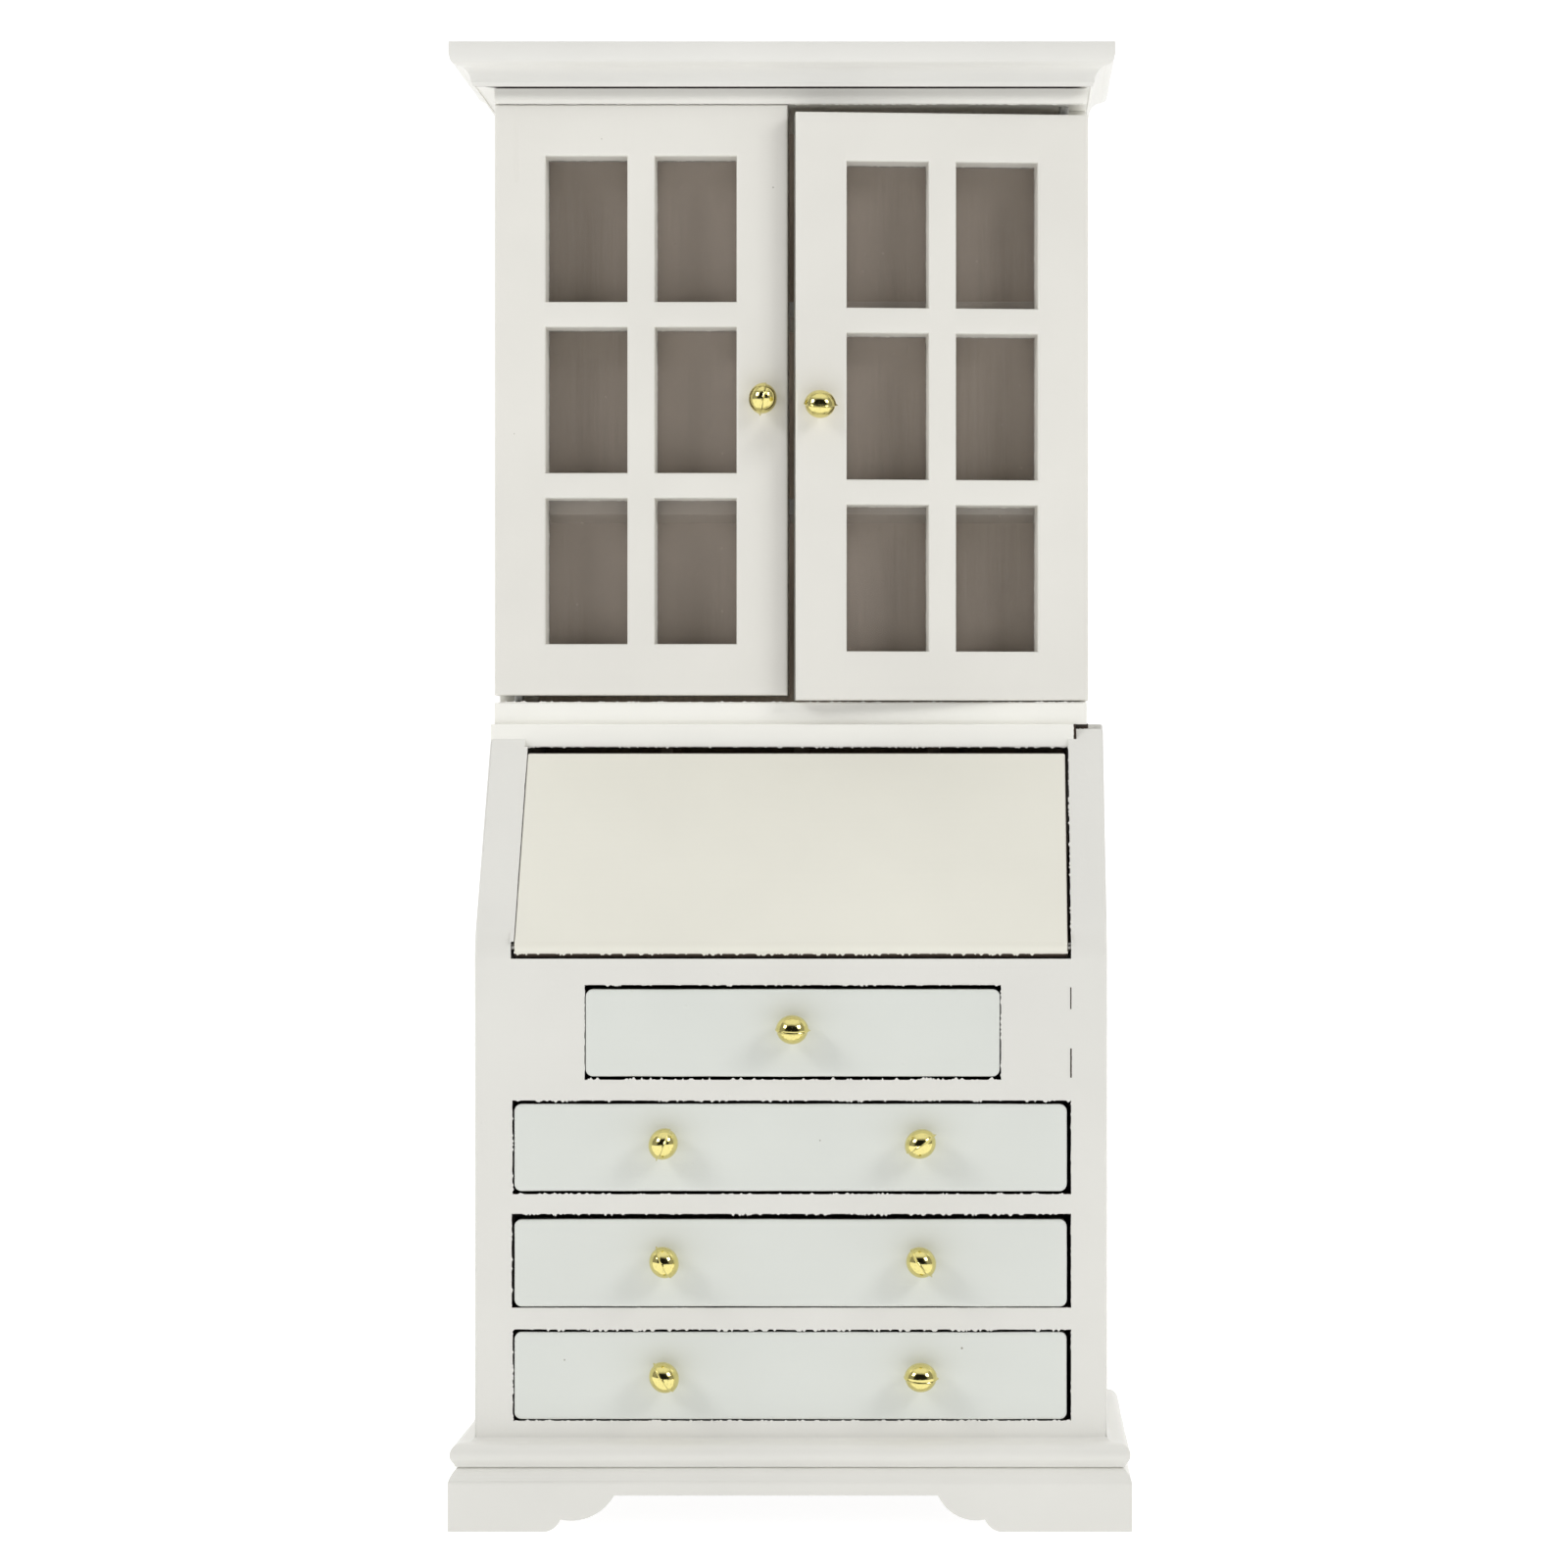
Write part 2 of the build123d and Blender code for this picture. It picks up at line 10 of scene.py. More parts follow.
import bmesh
import bpy
import numpy as np
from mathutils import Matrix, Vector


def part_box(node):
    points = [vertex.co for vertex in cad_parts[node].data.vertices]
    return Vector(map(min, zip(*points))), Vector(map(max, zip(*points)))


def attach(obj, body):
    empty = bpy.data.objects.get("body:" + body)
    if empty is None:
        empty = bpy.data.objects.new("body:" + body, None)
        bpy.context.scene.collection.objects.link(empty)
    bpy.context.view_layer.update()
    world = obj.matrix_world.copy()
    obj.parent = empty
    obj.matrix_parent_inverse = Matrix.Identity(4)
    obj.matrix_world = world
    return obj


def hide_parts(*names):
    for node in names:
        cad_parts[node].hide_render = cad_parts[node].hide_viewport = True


bl_info = {
    "name": "Miniature Secretary Desk",
    "version": (1, 0, 0),
    "blender": (4, 5, 0),
    "location": "View3D > Sidebar > Desk",
    "description": "Builds a painted dolls house secretary desk around its fixed frame",
    "category": "Add Mesh",
}

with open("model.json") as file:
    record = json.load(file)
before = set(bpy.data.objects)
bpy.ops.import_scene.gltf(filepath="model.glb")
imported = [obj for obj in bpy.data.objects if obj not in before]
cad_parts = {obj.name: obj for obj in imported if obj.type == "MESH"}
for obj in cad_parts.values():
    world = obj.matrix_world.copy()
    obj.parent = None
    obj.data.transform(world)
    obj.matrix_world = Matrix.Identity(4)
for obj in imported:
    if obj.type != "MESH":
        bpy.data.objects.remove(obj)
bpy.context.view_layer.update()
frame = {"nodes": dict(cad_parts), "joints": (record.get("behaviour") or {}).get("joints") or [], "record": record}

MM = 0.001
DRAWERS = (1, 2, 3, 4)
DOORS = ("left", "right")
RUN_GRAIN = {"front": "X", "left": "Y", "right": "Y"}
CASE = "case"

SAME_PLACE = 0.01 * MM
MOULDED_SHARP_ANGLE = math.radians(38)
BOARD_SHARP_ANGLE = math.radians(20)
BEVELLED_ANGLE = math.radians(32)
THIN_EDGE = 0.05 * MM
CUT_EDGE = 0.12 * MM
SANDED_EDGE = 0.15 * MM


# ---- Reading the frame ----
def corners(node):
    """Lowest and highest corner of a node as two arrays."""
    low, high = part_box(node)
    return np.array(low), np.array(high)


def joint(name):
    """The frame's entry for one joint."""
    return next(entry for entry in frame["joints"] if entry["name"] == name)


def body_of(node):
    """The body that a node belongs to."""
    bodies = frame["record"]["behaviour"]["bodies"]
    return next(body for body, members in bodies.items() if node in members)


SIDE_LEFT = corners("desk_side_left")
SIDE_RIGHT = corners("desk_side_right")
DESK_MIDDLE = (SIDE_LEFT[0][0] + SIDE_RIGHT[1][0]) / 2
DESK_FRONT = SIDE_LEFT[0][1]
DESK_BACK = SIDE_LEFT[1][1]
INSIDE_LEFT = SIDE_LEFT[1][0]
INSIDE_RIGHT = SIDE_RIGHT[0][0]
CABINET_LOW, CABINET_HIGH = corners("cabinet_bottom_board")
CABINET_FRONT = CABINET_LOW[1]
CABINET_MIDDLE = (CABINET_LOW[0] + CABINET_HIGH[0]) / 2
DOOR_AJAR = {
    side: -math.radians(joint(f"door_{side}_hinge")["range_deg"][0]) for side in DOORS
}
SLANT = math.pi - math.radians(joint("lid_hinge")["range_deg"][1])


# ---- Colours ----
def linear_colour(hex_text):
    """A #rrggbb colour as linear red, green, blue and full alpha, by the sRGB curve."""
    values = [int(hex_text[i:i + 2], 16) / 255 for i in (1, 3, 5)]
    linear = [v / 12.92 if v <= 0.04045 else ((v + 0.055) / 1.055) ** 2.4 for v in values]
    return (*linear, 1.0)


def colour_property(name, description, hex_text):
    """A colour that the user can change."""
    return bpy.props.FloatVectorProperty(
        name=name, description=description, subtype="COLOR", size=4, min=0.0, max=1.0,
        default=linear_colour(hex_text),
    )


def length_property(name, description, millimetres):
    """A length that the user can change."""
    return bpy.props.FloatProperty(
        name=name, description=description, subtype="DISTANCE", unit="LENGTH", min=0.0, precision=5,
        default=millimetres * MM,
    )


# ---- Settings ----
class PaintSettings(bpy.types.PropertyGroup):
    """Paint colours, the build-up of the paint on the edges and its ragged skin at the gaps."""

    cornice_colour: colour_property("Cornice paint", "Paint on the cornice", "#e5e4df")
    door_colour: colour_property("Door paint", "Paint on the doors and cabinet", "#e8e6df")
    # Painted light: this whiter paint on the front edges of the cabinet's top and bottom boards and the desk's top
    # board lifts the shade that falls on them under the crown and the cabinet.
    band_colour: colour_property("Board paint", "Thicker, whiter paint on two boards' edges", "#f8f7f0")
    # The lid's warmer tone is its own; its lightness above the case paint is painted light, set to make up for how
    # the light falls on the slant.
    lid_colour: colour_property("Lid paint", "Slightly warmer paint on the lid", "#eae8dc")
    drawer_colour: colour_property("Drawer paint", "Slightly cooler paint on the drawer fronts", "#dfe2dc")
    case_colour: colour_property("Desk paint", "Paint on the desk's case and base", "#e5e4de")
    board_edge: length_property("Board edge radius", "Rounding of painted board edges", 0.25)
    front_edge: length_property("Drawer edge radius", "Rounding of the drawer fronts' edges", 0.4)
    drawer_corner: length_property("Drawer corner radius", "Rounding of the drawer fronts' corners", 0.9)
    lid_edge: length_property("Lid edge radius", "Rounding of the lid's side edges", 0.3)
    pane_edge: length_property("Pane opening edge", "Rounding of the door frames' edges", 0.3)
    right_trim: length_property("Right trim", "How much narrower the long drawer fronts are sanded", 0.1)
    paint_end: length_property("Paint end", "How far the spray reached into a gap", 0.3)


class KnobSettings(bpy.types.PropertyGroup):
    """Shape and colour of the moulded, gold-plated ball knobs."""

    gold_colour: colour_property("Gold plating", "Colour of the plating", "#e6da8e")
    seam_height: length_property("Seam height", "Ridge left where the mould's halves met", 0.09)
    seam_width: length_property("Seam width", "Half the width of that ridge", 0.08)
    seam_step: length_property("Seam step", "How far one half's rim stands proud of the other's", 0.1)
    swelling: bpy.props.FloatProperty(
        name="Swelling", description="How much wider the ball is along its seam than across its drawing",
        subtype="FACTOR", min=0.0, max=0.1, default=0.04,
    )
    flattening: bpy.props.FloatProperty(
        name="Flattening", description="How much narrower the ball is across its seam",
        subtype="FACTOR", min=0.0, max=0.3, default=0.1,
    )


class InteriorSettings(bpy.types.PropertyGroup):
    """Bare wood inside and behind, the dark colour of the gaps, which is partly painted shade, and the clear
    panes.
    """

    bare_colour: colour_property("Bare wood", "Unpainted boards inside and at the back", "#e2d3c2")
    # Dark colour of the gaps, the pane rebates, the lid's edges and the recess under the crown: painted shade,
    # with the brown of unpainted end grain.
    dark_wood_and_gap_shade_colour: colour_property("Dark wood", "Stained edges inside the gaps", "#3a2d24")
    pane_colour: colour_property("Pane haze", "Haze and dust on the clear panes", "#bfb3a8")
    pane_haze: bpy.props.FloatProperty(
        name="Haze", description="How much of the view the haze on the panes hides",
        subtype="FACTOR", min=0.0, max=1.0, default=0.24,
    )


class StageSettings(bpy.types.PropertyGroup):
    """Camera, soft boxes and floor."""

    distance: length_property("Camera distance", "From the desk's front to the camera", 546.0)
    camera_height: length_property("Camera height", "Above the floor", 88.9)
    camera_aside: length_property("Camera offset", "To the right of the desk's middle", 22.6)
    lens: bpy.props.FloatProperty(
        name="Lens", description="Focal length on a 36 mm sensor", subtype="DISTANCE_CAMERA", default=104.9,
    )
    shift_across: bpy.props.FloatProperty(
        name="Shift", description="Sideways shift of the lens", subtype="FACTOR", default=-0.125,
    )
    soft_box_power: bpy.props.FloatProperty(
        name="Soft box power", description="Of each soft box", subtype="POWER", default=1.66,
    )
    soft_box_side: bpy.props.FloatProperty(
        name="Soft box side", description="Angle from straight ahead to each soft box, seen from above",
        subtype="ANGLE", default=math.radians(56),
    )
    soft_box_rise: bpy.props.FloatProperty(
        name="Soft box rise", description="Angle of each soft box above the desk", subtype="ANGLE",
        default=math.radians(29),
    )
    surround: bpy.props.FloatProperty(
        name="Surround", description="Brightness of the tent all round", subtype="FACTOR", default=0.43,
    )
    overhead: bpy.props.FloatProperty(
        name="Overhead", description="Brightness of the tent's top", subtype="FACTOR", default=1.25,
    )
    floor_glow: bpy.props.FloatProperty(
        name="Floor glow", description="Brightness of the lit table", subtype="FACTOR", default=0.93,
    )


# ---- Shaders ----
# A noise's usual values, spread over the range that each Map Range node gives.
NOISE_SPREAD = {"From Min": 0.3, "From Max": 0.7}


def add_node(material, kind, inputs=None, **settings):
    """Add one shader node, with its settings, and set or link the named inputs."""
    node = material.node_tree.nodes.new(kind)
    for name, value in settings.items():
        setattr(node, name, value)
    for socket, value in (inputs or {}).items():
        target = node.inputs[socket]
        if isinstance(value, bpy.types.NodeSocket):
            material.node_tree.links.new(value, target)
        else:
            target.default_value = value
    return node


def new_material(name):
    """An empty node material and its output."""
    material = bpy.data.materials.new(name)
    material.use_nodes = True
    material.node_tree.nodes.clear()
    return material, add_node(material, "ShaderNodeOutputMaterial")


def per_metre(millimetres):
    """Pattern scale that repeats about once in the given length."""
    return 1 / (millimetres * MM)


def add_surface(material, output, inputs):
    """Add the surface shader with its inputs and link it to the output."""
    shader = add_node(material, "ShaderNodeBsdfPrincipled", inputs)
    material.node_tree.links.new(shader.outputs[0], output.inputs["Surface"])


def sprayed_paint(name, colour, dark, grain_axis, fade=None):
    """Satin white lacquer, sprayed thickly on small basswood boards.

    The eye sees a nearly even off-white that drifts a little, wood grain that shows through as faint long
    ridges, a soft orange peel, small nibs of dust under the paint and a few dark specks. A dark colour shows
    where a mesh's attribute "bare" is 1 or, with a fade = (start, end), behind those two places along Y: the
    brown of unpainted wood together with painted shade in the gaps and recesses.
    """
    material, output = new_material(name)
    place = add_node(material, "ShaderNodeTexCoord").outputs["Object"]
    drift = add_node(material, "ShaderNodeTexNoise", {
        "Vector": place, "Scale": per_metre(22), "Detail": 3.0,
    })
    shade = add_node(material, "ShaderNodeMapRange", {
        "Value": drift.outputs["Fac"], **NOISE_SPREAD, "To Min": 0.97, "To Max": 1.02,
    })
    tint = add_node(material, "ShaderNodeMix", {
        "Factor": 1.0, "A": colour, "B": shade.outputs["Result"],
    }, data_type="RGBA", blend_type="MULTIPLY")
    speck = add_node(material, "ShaderNodeTexVoronoi", {"Vector": place, "Scale": per_metre(7.5)})
    speck_size = add_node(material, "ShaderNodeMapRange", {
        "Value": speck.outputs["Distance"], "From Min": 0.012, "From Max": 0.022,
        "To Min": 1.0, "To Max": 0.0,
    })
    chosen = add_node(material, "ShaderNodeSeparateColor", {"Color": speck.outputs["Color"]})
    is_chosen = add_node(material, "ShaderNodeMath", {
        0: chosen.outputs["Red"], 1: 0.4,
    }, operation="GREATER_THAN")
    speck_mask = add_node(material, "ShaderNodeMath", {
        0: speck_size.outputs["Result"], 1: is_chosen.outputs[0],
    }, operation="MULTIPLY")
    speckled = add_node(material, "ShaderNodeMix", {
        "Factor": speck_mask.outputs[0], "A": tint.outputs["Result"], "B": linear_colour("#8f8a7e"),
    }, data_type="RGBA")

    stretch = [per_metre(0.9)] * 3
    stretch["XYZ".index(grain_axis)] = per_metre(28)
    grain_place = add_node(material, "ShaderNodeMapping", {"Vector": place, "Scale": stretch})
    grain = add_node(material, "ShaderNodeTexNoise", {
        "Vector": grain_place.outputs[0], "Scale": 1.0, "Detail": 3.0, "Roughness": 0.6,
    })
    peel = add_node(material, "ShaderNodeTexNoise", {
        "Vector": place, "Scale": per_metre(0.8), "Detail": 2.0,
    })
    nib = add_node(material, "ShaderNodeTexVoronoi", {"Vector": place, "Scale": per_metre(5.0)})
    nib_height = add_node(material, "ShaderNodeMapRange", {
        "Value": nib.outputs["Distance"], "From Min": 0.0, "From Max": 0.05, "To Min": 1.0, "To Max": 0.0,
    })
    grain_bump = add_node(material, "ShaderNodeBump", {
        "Height": grain.outputs["Fac"], "Distance": 0.035 * MM, "Strength": 0.5,
    })
    peel_bump = add_node(material, "ShaderNodeBump", {
        "Height": peel.outputs["Fac"], "Distance": 0.03 * MM, "Strength": 0.45,
        "Normal": grain_bump.outputs["Normal"],
    })
    nib_bump = add_node(material, "ShaderNodeBump", {
        "Height": nib_height.outputs["Result"], "Distance": 0.06 * MM, "Strength": 0.6,
        "Normal": peel_bump.outputs["Normal"],
    })
    sheen = add_node(material, "ShaderNodeMapRange", {
        "Value": drift.outputs["Fac"], **NOISE_SPREAD, "To Min": 0.36, "To Max": 0.44,
    })

    if fade:
        start, end = fade
        axes = add_node(material, "ShaderNodeSeparateXYZ", {"Vector": place})
        ragged = add_node(material, "ShaderNodeMath", {
            0: peel.outputs["Fac"], 1: end - start, 2: axes.outputs["Y"],
        }, operation="MULTIPLY_ADD")
        raised = (end - start) / 2
        behind = add_node(material, "ShaderNodeMapRange", {
            "Value": ragged.outputs[0], "From Min": start + raised, "From Max": end + raised,
        })
        bare = behind.outputs["Result"]
    else:
        bare = add_node(material, "ShaderNodeAttribute", attribute_name="bare").outputs["Fac"]
    # The dark mixed in here is painted shade in the gaps and recesses, with the brown of unpainted wood.
    faded = add_node(material, "ShaderNodeMix", {
        "Factor": bare, "A": speckled.outputs["Result"], "B": dark,
    }, data_type="RGBA")
    add_surface(material, output, {
        "Base Color": faded.outputs["Result"], "Roughness": sheen.outputs["Result"], "IOR": 1.5,
        "Normal": nib_bump.outputs["Normal"],
    })
    return material


def bare_board(name, colour, grain_axis):
    """Unpainted basswood: a matt, pale board with long fibres and darker streaks along the grain."""
    material, output = new_material(name)
    place = add_node(material, "ShaderNodeTexCoord").outputs["Object"]
    stretch = [per_metre(0.5)] * 3
    stretch["XYZ".index(grain_axis)] = per_metre(14)
    along = add_node(material, "ShaderNodeMapping", {"Vector": place, "Scale": stretch})
    fibre = add_node(material, "ShaderNodeTexNoise", {
        "Vector": along.outputs[0], "Scale": 1.0, "Detail": 6.0, "Roughness": 0.65,
    })
    patch = add_node(material, "ShaderNodeTexNoise", {
        "Vector": place, "Scale": per_metre(18), "Detail": 2.0,
    })
    fibre_shade = add_node(material, "ShaderNodeMapRange", {
        "Value": fibre.outputs["Fac"], **NOISE_SPREAD, "To Min": 0.88, "To Max": 1.06,
    })
    patch_shade = add_node(material, "ShaderNodeMapRange", {
        "Value": patch.outputs["Fac"], **NOISE_SPREAD, "To Min": 0.9, "To Max": 1.08,
    })
    shade = add_node(material, "ShaderNodeMath", {
        0: fibre_shade.outputs["Result"], 1: patch_shade.outputs["Result"],
    }, operation="MULTIPLY")
    tint = add_node(material, "ShaderNodeMix", {
        "Factor": 1.0, "A": colour, "B": shade.outputs[0],
    }, data_type="RGBA", blend_type="MULTIPLY")
    bump = add_node(material, "ShaderNodeBump", {
        "Height": fibre.outputs["Fac"], "Distance": 0.06 * MM, "Strength": 0.6,
    })
    add_surface(material, output, {
        "Base Color": tint.outputs["Result"], "Roughness": 0.78, "IOR": 1.5,
        "Normal": bump.outputs["Normal"],
    })
    return material


def gold_plating(name, colour):
    """Vacuum-plated moulded ball: a bright yellow mirror with faint flow marks and a few dull freckles."""
    material, output = new_material(name)
    place = add_node(material, "ShaderNodeTexCoord").outputs["Object"]
    flow = add_node(material, "ShaderNodeTexNoise", {
        "Vector": place, "Scale": per_metre(1.6), "Detail": 2.0,
    })
    freckle = add_node(material, "ShaderNodeTexNoise", {
        "Vector": place, "Scale": per_metre(0.35), "Detail": 3.0,
    })
    dull = add_node(material, "ShaderNodeMapRange", {
        "Value": freckle.outputs["Fac"], "From Min": 0.6, "From Max": 0.72, "To Min": 0.1, "To Max": 0.32,
    })
    tone = add_node(material, "ShaderNodeMapRange", {
        "Value": freckle.outputs["Fac"], "From Min": 0.55, "From Max": 0.75, "To Min": 1.0, "To Max": 0.82,
    })
    tint = add_node(material, "ShaderNodeMix", {
        "Factor": 1.0, "A": colour, "B": tone.outputs["Result"],
    }, data_type="RGBA", blend_type="MULTIPLY")
    bump = add_node(material, "ShaderNodeBump", {
        "Height": flow.outputs["Fac"], "Distance": 0.09 * MM, "Strength": 0.5,
    })
    add_surface(material, output, {
        "Base Color": tint.outputs["Result"], "Metallic": 1.0, "Roughness": dull.outputs["Result"],
        "Normal": bump.outputs["Normal"],
    })
    return material


def clear_pane(name, colour, haze, middle_x, reach_x):
    """Clear polystyrene sheet: see-through, with fine dust specks and a haze from handling.

    The haze grows towards the doors' meeting edges: it falls evenly with the distance along X from the
    middle and is least at the reach.
    """
    material, output = new_material(name)
    place = add_node(material, "ShaderNodeTexCoord").outputs["Object"]
    axes = add_node(material, "ShaderNodeSeparateXYZ", {"Vector": place})
    offset = add_node(material, "ShaderNodeMath", {0: axes.outputs["X"], 1: middle_x}, operation="SUBTRACT")
    distance = add_node(material, "ShaderNodeMath", {0: offset.outputs[0]}, operation="ABSOLUTE")
    inward = add_node(material, "ShaderNodeMapRange", {
        "Value": distance.outputs[0], "From Min": 0.0, "From Max": reach_x, "To Min": 0.18, "To Max": 0.0,
    })
    cloud = add_node(material, "ShaderNodeTexNoise", {
        "Vector": place, "Scale": per_metre(26), "Detail": 2.0,
    })
    veil = add_node(material, "ShaderNodeMapRange", {
        "Value": cloud.outputs["Fac"], **NOISE_SPREAD, "To Min": haze * 0.7, "To Max": haze * 1.3,
    })
    dust = add_node(material, "ShaderNodeTexVoronoi", {"Vector": place, "Scale": per_metre(2.2)})
    dust_size = add_node(material, "ShaderNodeMapRange", {
        "Value": dust.outputs["Distance"], "From Min": 0.03, "From Max": 0.06, "To Min": 0.5, "To Max": 0.0,
    })
    both = add_node(material, "ShaderNodeMath", {
        0: inward.outputs["Result"], 1: veil.outputs["Result"],
    }, operation="ADD")
    alpha = add_node(material, "ShaderNodeMath", {
        0: both.outputs[0], 1: dust_size.outputs["Result"],
    }, operation="ADD", use_clamp=True)
    add_surface(material, output, {
        "Base Color": colour, "Roughness": 0.18, "IOR": 1.59, "Alpha": alpha.outputs[0],
    })
    return material


def drawn_steel(name):
    """Pins cut from drawn wire: grey metal with an uneven, slightly blurred shine."""
    material, output = new_material(name)
    place = add_node(material, "ShaderNodeTexCoord").outputs["Object"]
    mottle = add_node(material, "ShaderNodeTexNoise", {
        "Vector": place, "Scale": per_metre(0.2), "Detail": 2.0,
    })
    roughness = add_node(material, "ShaderNodeMapRange", {
        "Value": mottle.outputs["Fac"], "To Min": 0.25, "To Max": 0.45,
    })
    add_surface(material, output, {
        "Base Color": linear_colour("#a3a29e"), "Metallic": 1.0, "Roughness": roughness.outputs["Result"],
    })
    return material


def shared_material(name, make, *values):
    """The material of that name, made on first use."""
    return bpy.data.materials.get(name) or make(name, *values)


def paint_for(place, grain_axis, front=None):
    """Paint of one part of the desk, with its wood's grain along the given axis.

    With a front, the paint ends a little way behind that place along Y and the dark colour takes over from there:
    painted shade inside the gaps, with the brown of unpainted wood.
    """
    scene = bpy.context.scene
    colour = tuple(getattr(scene.desk_paint, f"{place}_colour"))
    dark = tuple(scene.desk_interior.dark_wood_and_gap_shade_colour)
    name = f"sprayed_lacquer_{place}_{grain_axis.lower()}"
    if front is None:
        return shared_material(name, sprayed_paint, colour, dark, grain_axis)
    end = scene.desk_paint.paint_end
    fade = (front + end / 2, front + end * 2)
    return shared_material(f"{name}_nosed", sprayed_paint, colour, dark, grain_axis, fade)


def bare_wood(grain_axis):
    """The bare board material with its grain along the given axis."""
    colour = tuple(bpy.context.scene.desk_interior.bare_colour)
    return shared_material(f"bare_basswood_{grain_axis.lower()}", bare_board, colour, grain_axis)


# ---- Meshes ----
def outward(vertices, faces):
    """Faces turned outwards, so that a closed shape's volume, summed over each face's fan, is positive."""
    volume = 0.0
    for face in faces:
        points = vertices[np.asarray(face)]
        fan = np.cross(points[1:-1], points[2:])
        volume += float(np.sum(fan @ points[0]))
    return faces if volume > 0 else [tuple(face)[::-1] for face in faces]


def placed(mesh, material, sharp_angle):
    """An object in the scene that shows a mesh in one material, smooth but for its sharp edges."""
    mesh.materials.clear()
    mesh.materials.append(material)
    mesh.shade_smooth()
    mesh.set_sharp_from_angle(angle=sharp_angle)
    piece = bpy.data.objects.new(mesh.name, mesh)
    bpy.context.scene.collection.objects.link(piece)
    return piece


def add_piece(name, vertices, faces, material, body, node=None, bare=None):
    """Make one closed piece that rides on a body and, with a node, stands for that node of the frame.

    Bare gives each vertex's share of the dark colour, from 0 to 1: brown unpainted wood together with painted
    shade in gaps and recesses.
    """
    mesh = bpy.data.meshes.new(name)
    mesh.from_pydata(np.asarray(vertices).tolist(), [], [tuple(int(i) for i in face) for face in faces])
    if bare is not None:
        attribute = mesh.attributes.new("bare", "FLOAT", "POINT")
        attribute.data.foreach_set("value", np.asarray(bare, np.float32))
    mesh.validate()
    piece = placed(mesh, material, MOULDED_SHARP_ANGLE)
    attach(piece, body)
    if node:
        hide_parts(node)
    return piece


def repaint(node, material):
    """Keep a node's own mesh and give it a better material."""
    slots = frame["nodes"][node].data.materials
    slots.clear()
    slots.append(material)


def joined(parts):
    """Several (points, faces) pairs as one."""
    points, faces, count = [], [], 0
    for part_points, part_faces in parts:
        points.append(part_points)
        faces += [tuple(int(i) + count for i in face) for face in part_faces]
        count += len(part_points)
    return np.concatenate(points), faces


def softened_copy(node, radius, material, is_rounded=None, bend=None):
    """A copy of a node's mesh with its triangles merged back into flat faces and its edges rounded.

    is_rounded picks the edges by the places of their two ends, every sharp edge without it. A bend is
    (is_bent, reach): edges that are first eased over that reach on both sides.
    """
    mesh = bpy.data.meshes.new(f"{node}_piece")
    work = bmesh.new()
    work.from_mesh(frame["nodes"][node].data)
    bmesh.ops.remove_doubles(work, verts=work.verts, dist=SAME_PLACE / 10)
    bmesh.ops.dissolve_limit(work, angle_limit=math.radians(1.0), verts=work.verts, edges=work.edges)
    if bend:
        is_bent, reach = bend
        chosen = [edge for edge in work.edges if is_bent(*[np.array(v.co) for v in edge.verts])]
        bmesh.ops.bevel(work, geom=chosen, offset=reach, segments=8, profile=0.5, affect="EDGES")
    work.to_mesh(mesh)
    work.free()
    piece = placed(mesh, material, BOARD_SHARP_ANGLE)
    bevel = piece.modifiers.new("rounded_edges", "BEVEL")
    bevel.width = radius
    bevel.segments = 3
    bevel.limit_method = "ANGLE"
    bevel.angle_limit = BEVELLED_ANGLE
    if is_rounded:
        bevel.limit_method = "WEIGHT"
        places = [np.array(vertex.co) for vertex in mesh.vertices]
        weights = [float(is_rounded(*[places[i] for i in edge.vertices])) for edge in mesh.edges]
        mesh.attributes.new("bevel_weight_edge", "FLOAT", "EDGE").data.foreach_set("value", weights)
    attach(piece, body_of(node))
    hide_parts(node)


def grid_faces(rows, columns, closed=False):
    """Quads between neighbouring points of a grid whose point (r, c) has the number r * columns + c.

    In a closed grid each row's last point is also joined to its first.
    """
    row = np.arange(rows - 1)[:, None] * columns
    here = np.arange(columns if closed else columns - 1)[None, :]
    after = (here + 1) % columns
    quads = [row + here, row + after, row + columns + after, row + columns + here]
    return np.stack(quads, axis=-1).reshape(-1, 4).tolist()


def bar_faces(rings, count):
    """Faces of a closed bar of rings with so many points each: its wall, then its two flat ends."""
    last = (rings - 1) * count
    ends = [tuple(range(count)), tuple(range(last, last + count))[::-1]]
    return grid_faces(rings, count, closed=True) + ends


def inward_steps(outline):
    """For each corner of an anticlockwise outline, the step that moves both of its sides inwards by one.

    It is the sum of the two sides' inward normals over one plus their scalar product.
    """
    ahead = np.roll(outline, -1, axis=0) - outline
    ahead /= np.linalg.norm(ahead, axis=1, keepdims=True)
    normal = np.stack([-ahead[:, 1], ahead[:, 0]], axis=1)
    before = np.roll(normal, 1, axis=0)
    share = 1 + np.sum(normal * before, axis=1, keepdims=True)
    return (normal + before) / share


def rounded_prism(outline, low, high, radius, steps=4, paint_end=0.0):
    """Points, faces and bareness of an outline carried from low to high with rounded rims.

    At angle t of a rim, the outline is moved inwards by radius * (1 - sin t) and lies
    radius * (1 - cos t) in from the end. With a paint end, extra rings mark a dark band behind it, from
    once to 4.5 times that length behind the low rim: painted shade in the gap, with unpainted wood.
    """
    t = np.linspace(0, math.pi / 2, steps + 1)
    inset = radius * (1 - np.sin(t))
    rise = radius * (1 - np.cos(t))
    between = low + radius + paint_end * np.array([0.5, 1.5, 4.0, 5.0]) if paint_end else np.zeros(0)
    levels = np.concatenate([low + rise, between, (high - rise)[::-1]])
    insets = np.concatenate([inset, between * 0, inset[::-1]])
    rings = outline[None] + inward_steps(outline)[None] * insets[:, None, None]
    depth = np.broadcast_to(levels[:, None, None], rings.shape[:2] + (1,))
    points = np.concatenate([rings, depth], axis=2).reshape(-1, 3)
    behind = points[:, 2] - low - radius
    bare = (behind > paint_end) & (behind < 4.5 * paint_end)
    return points, bar_faces(len(levels), len(outline)), bare


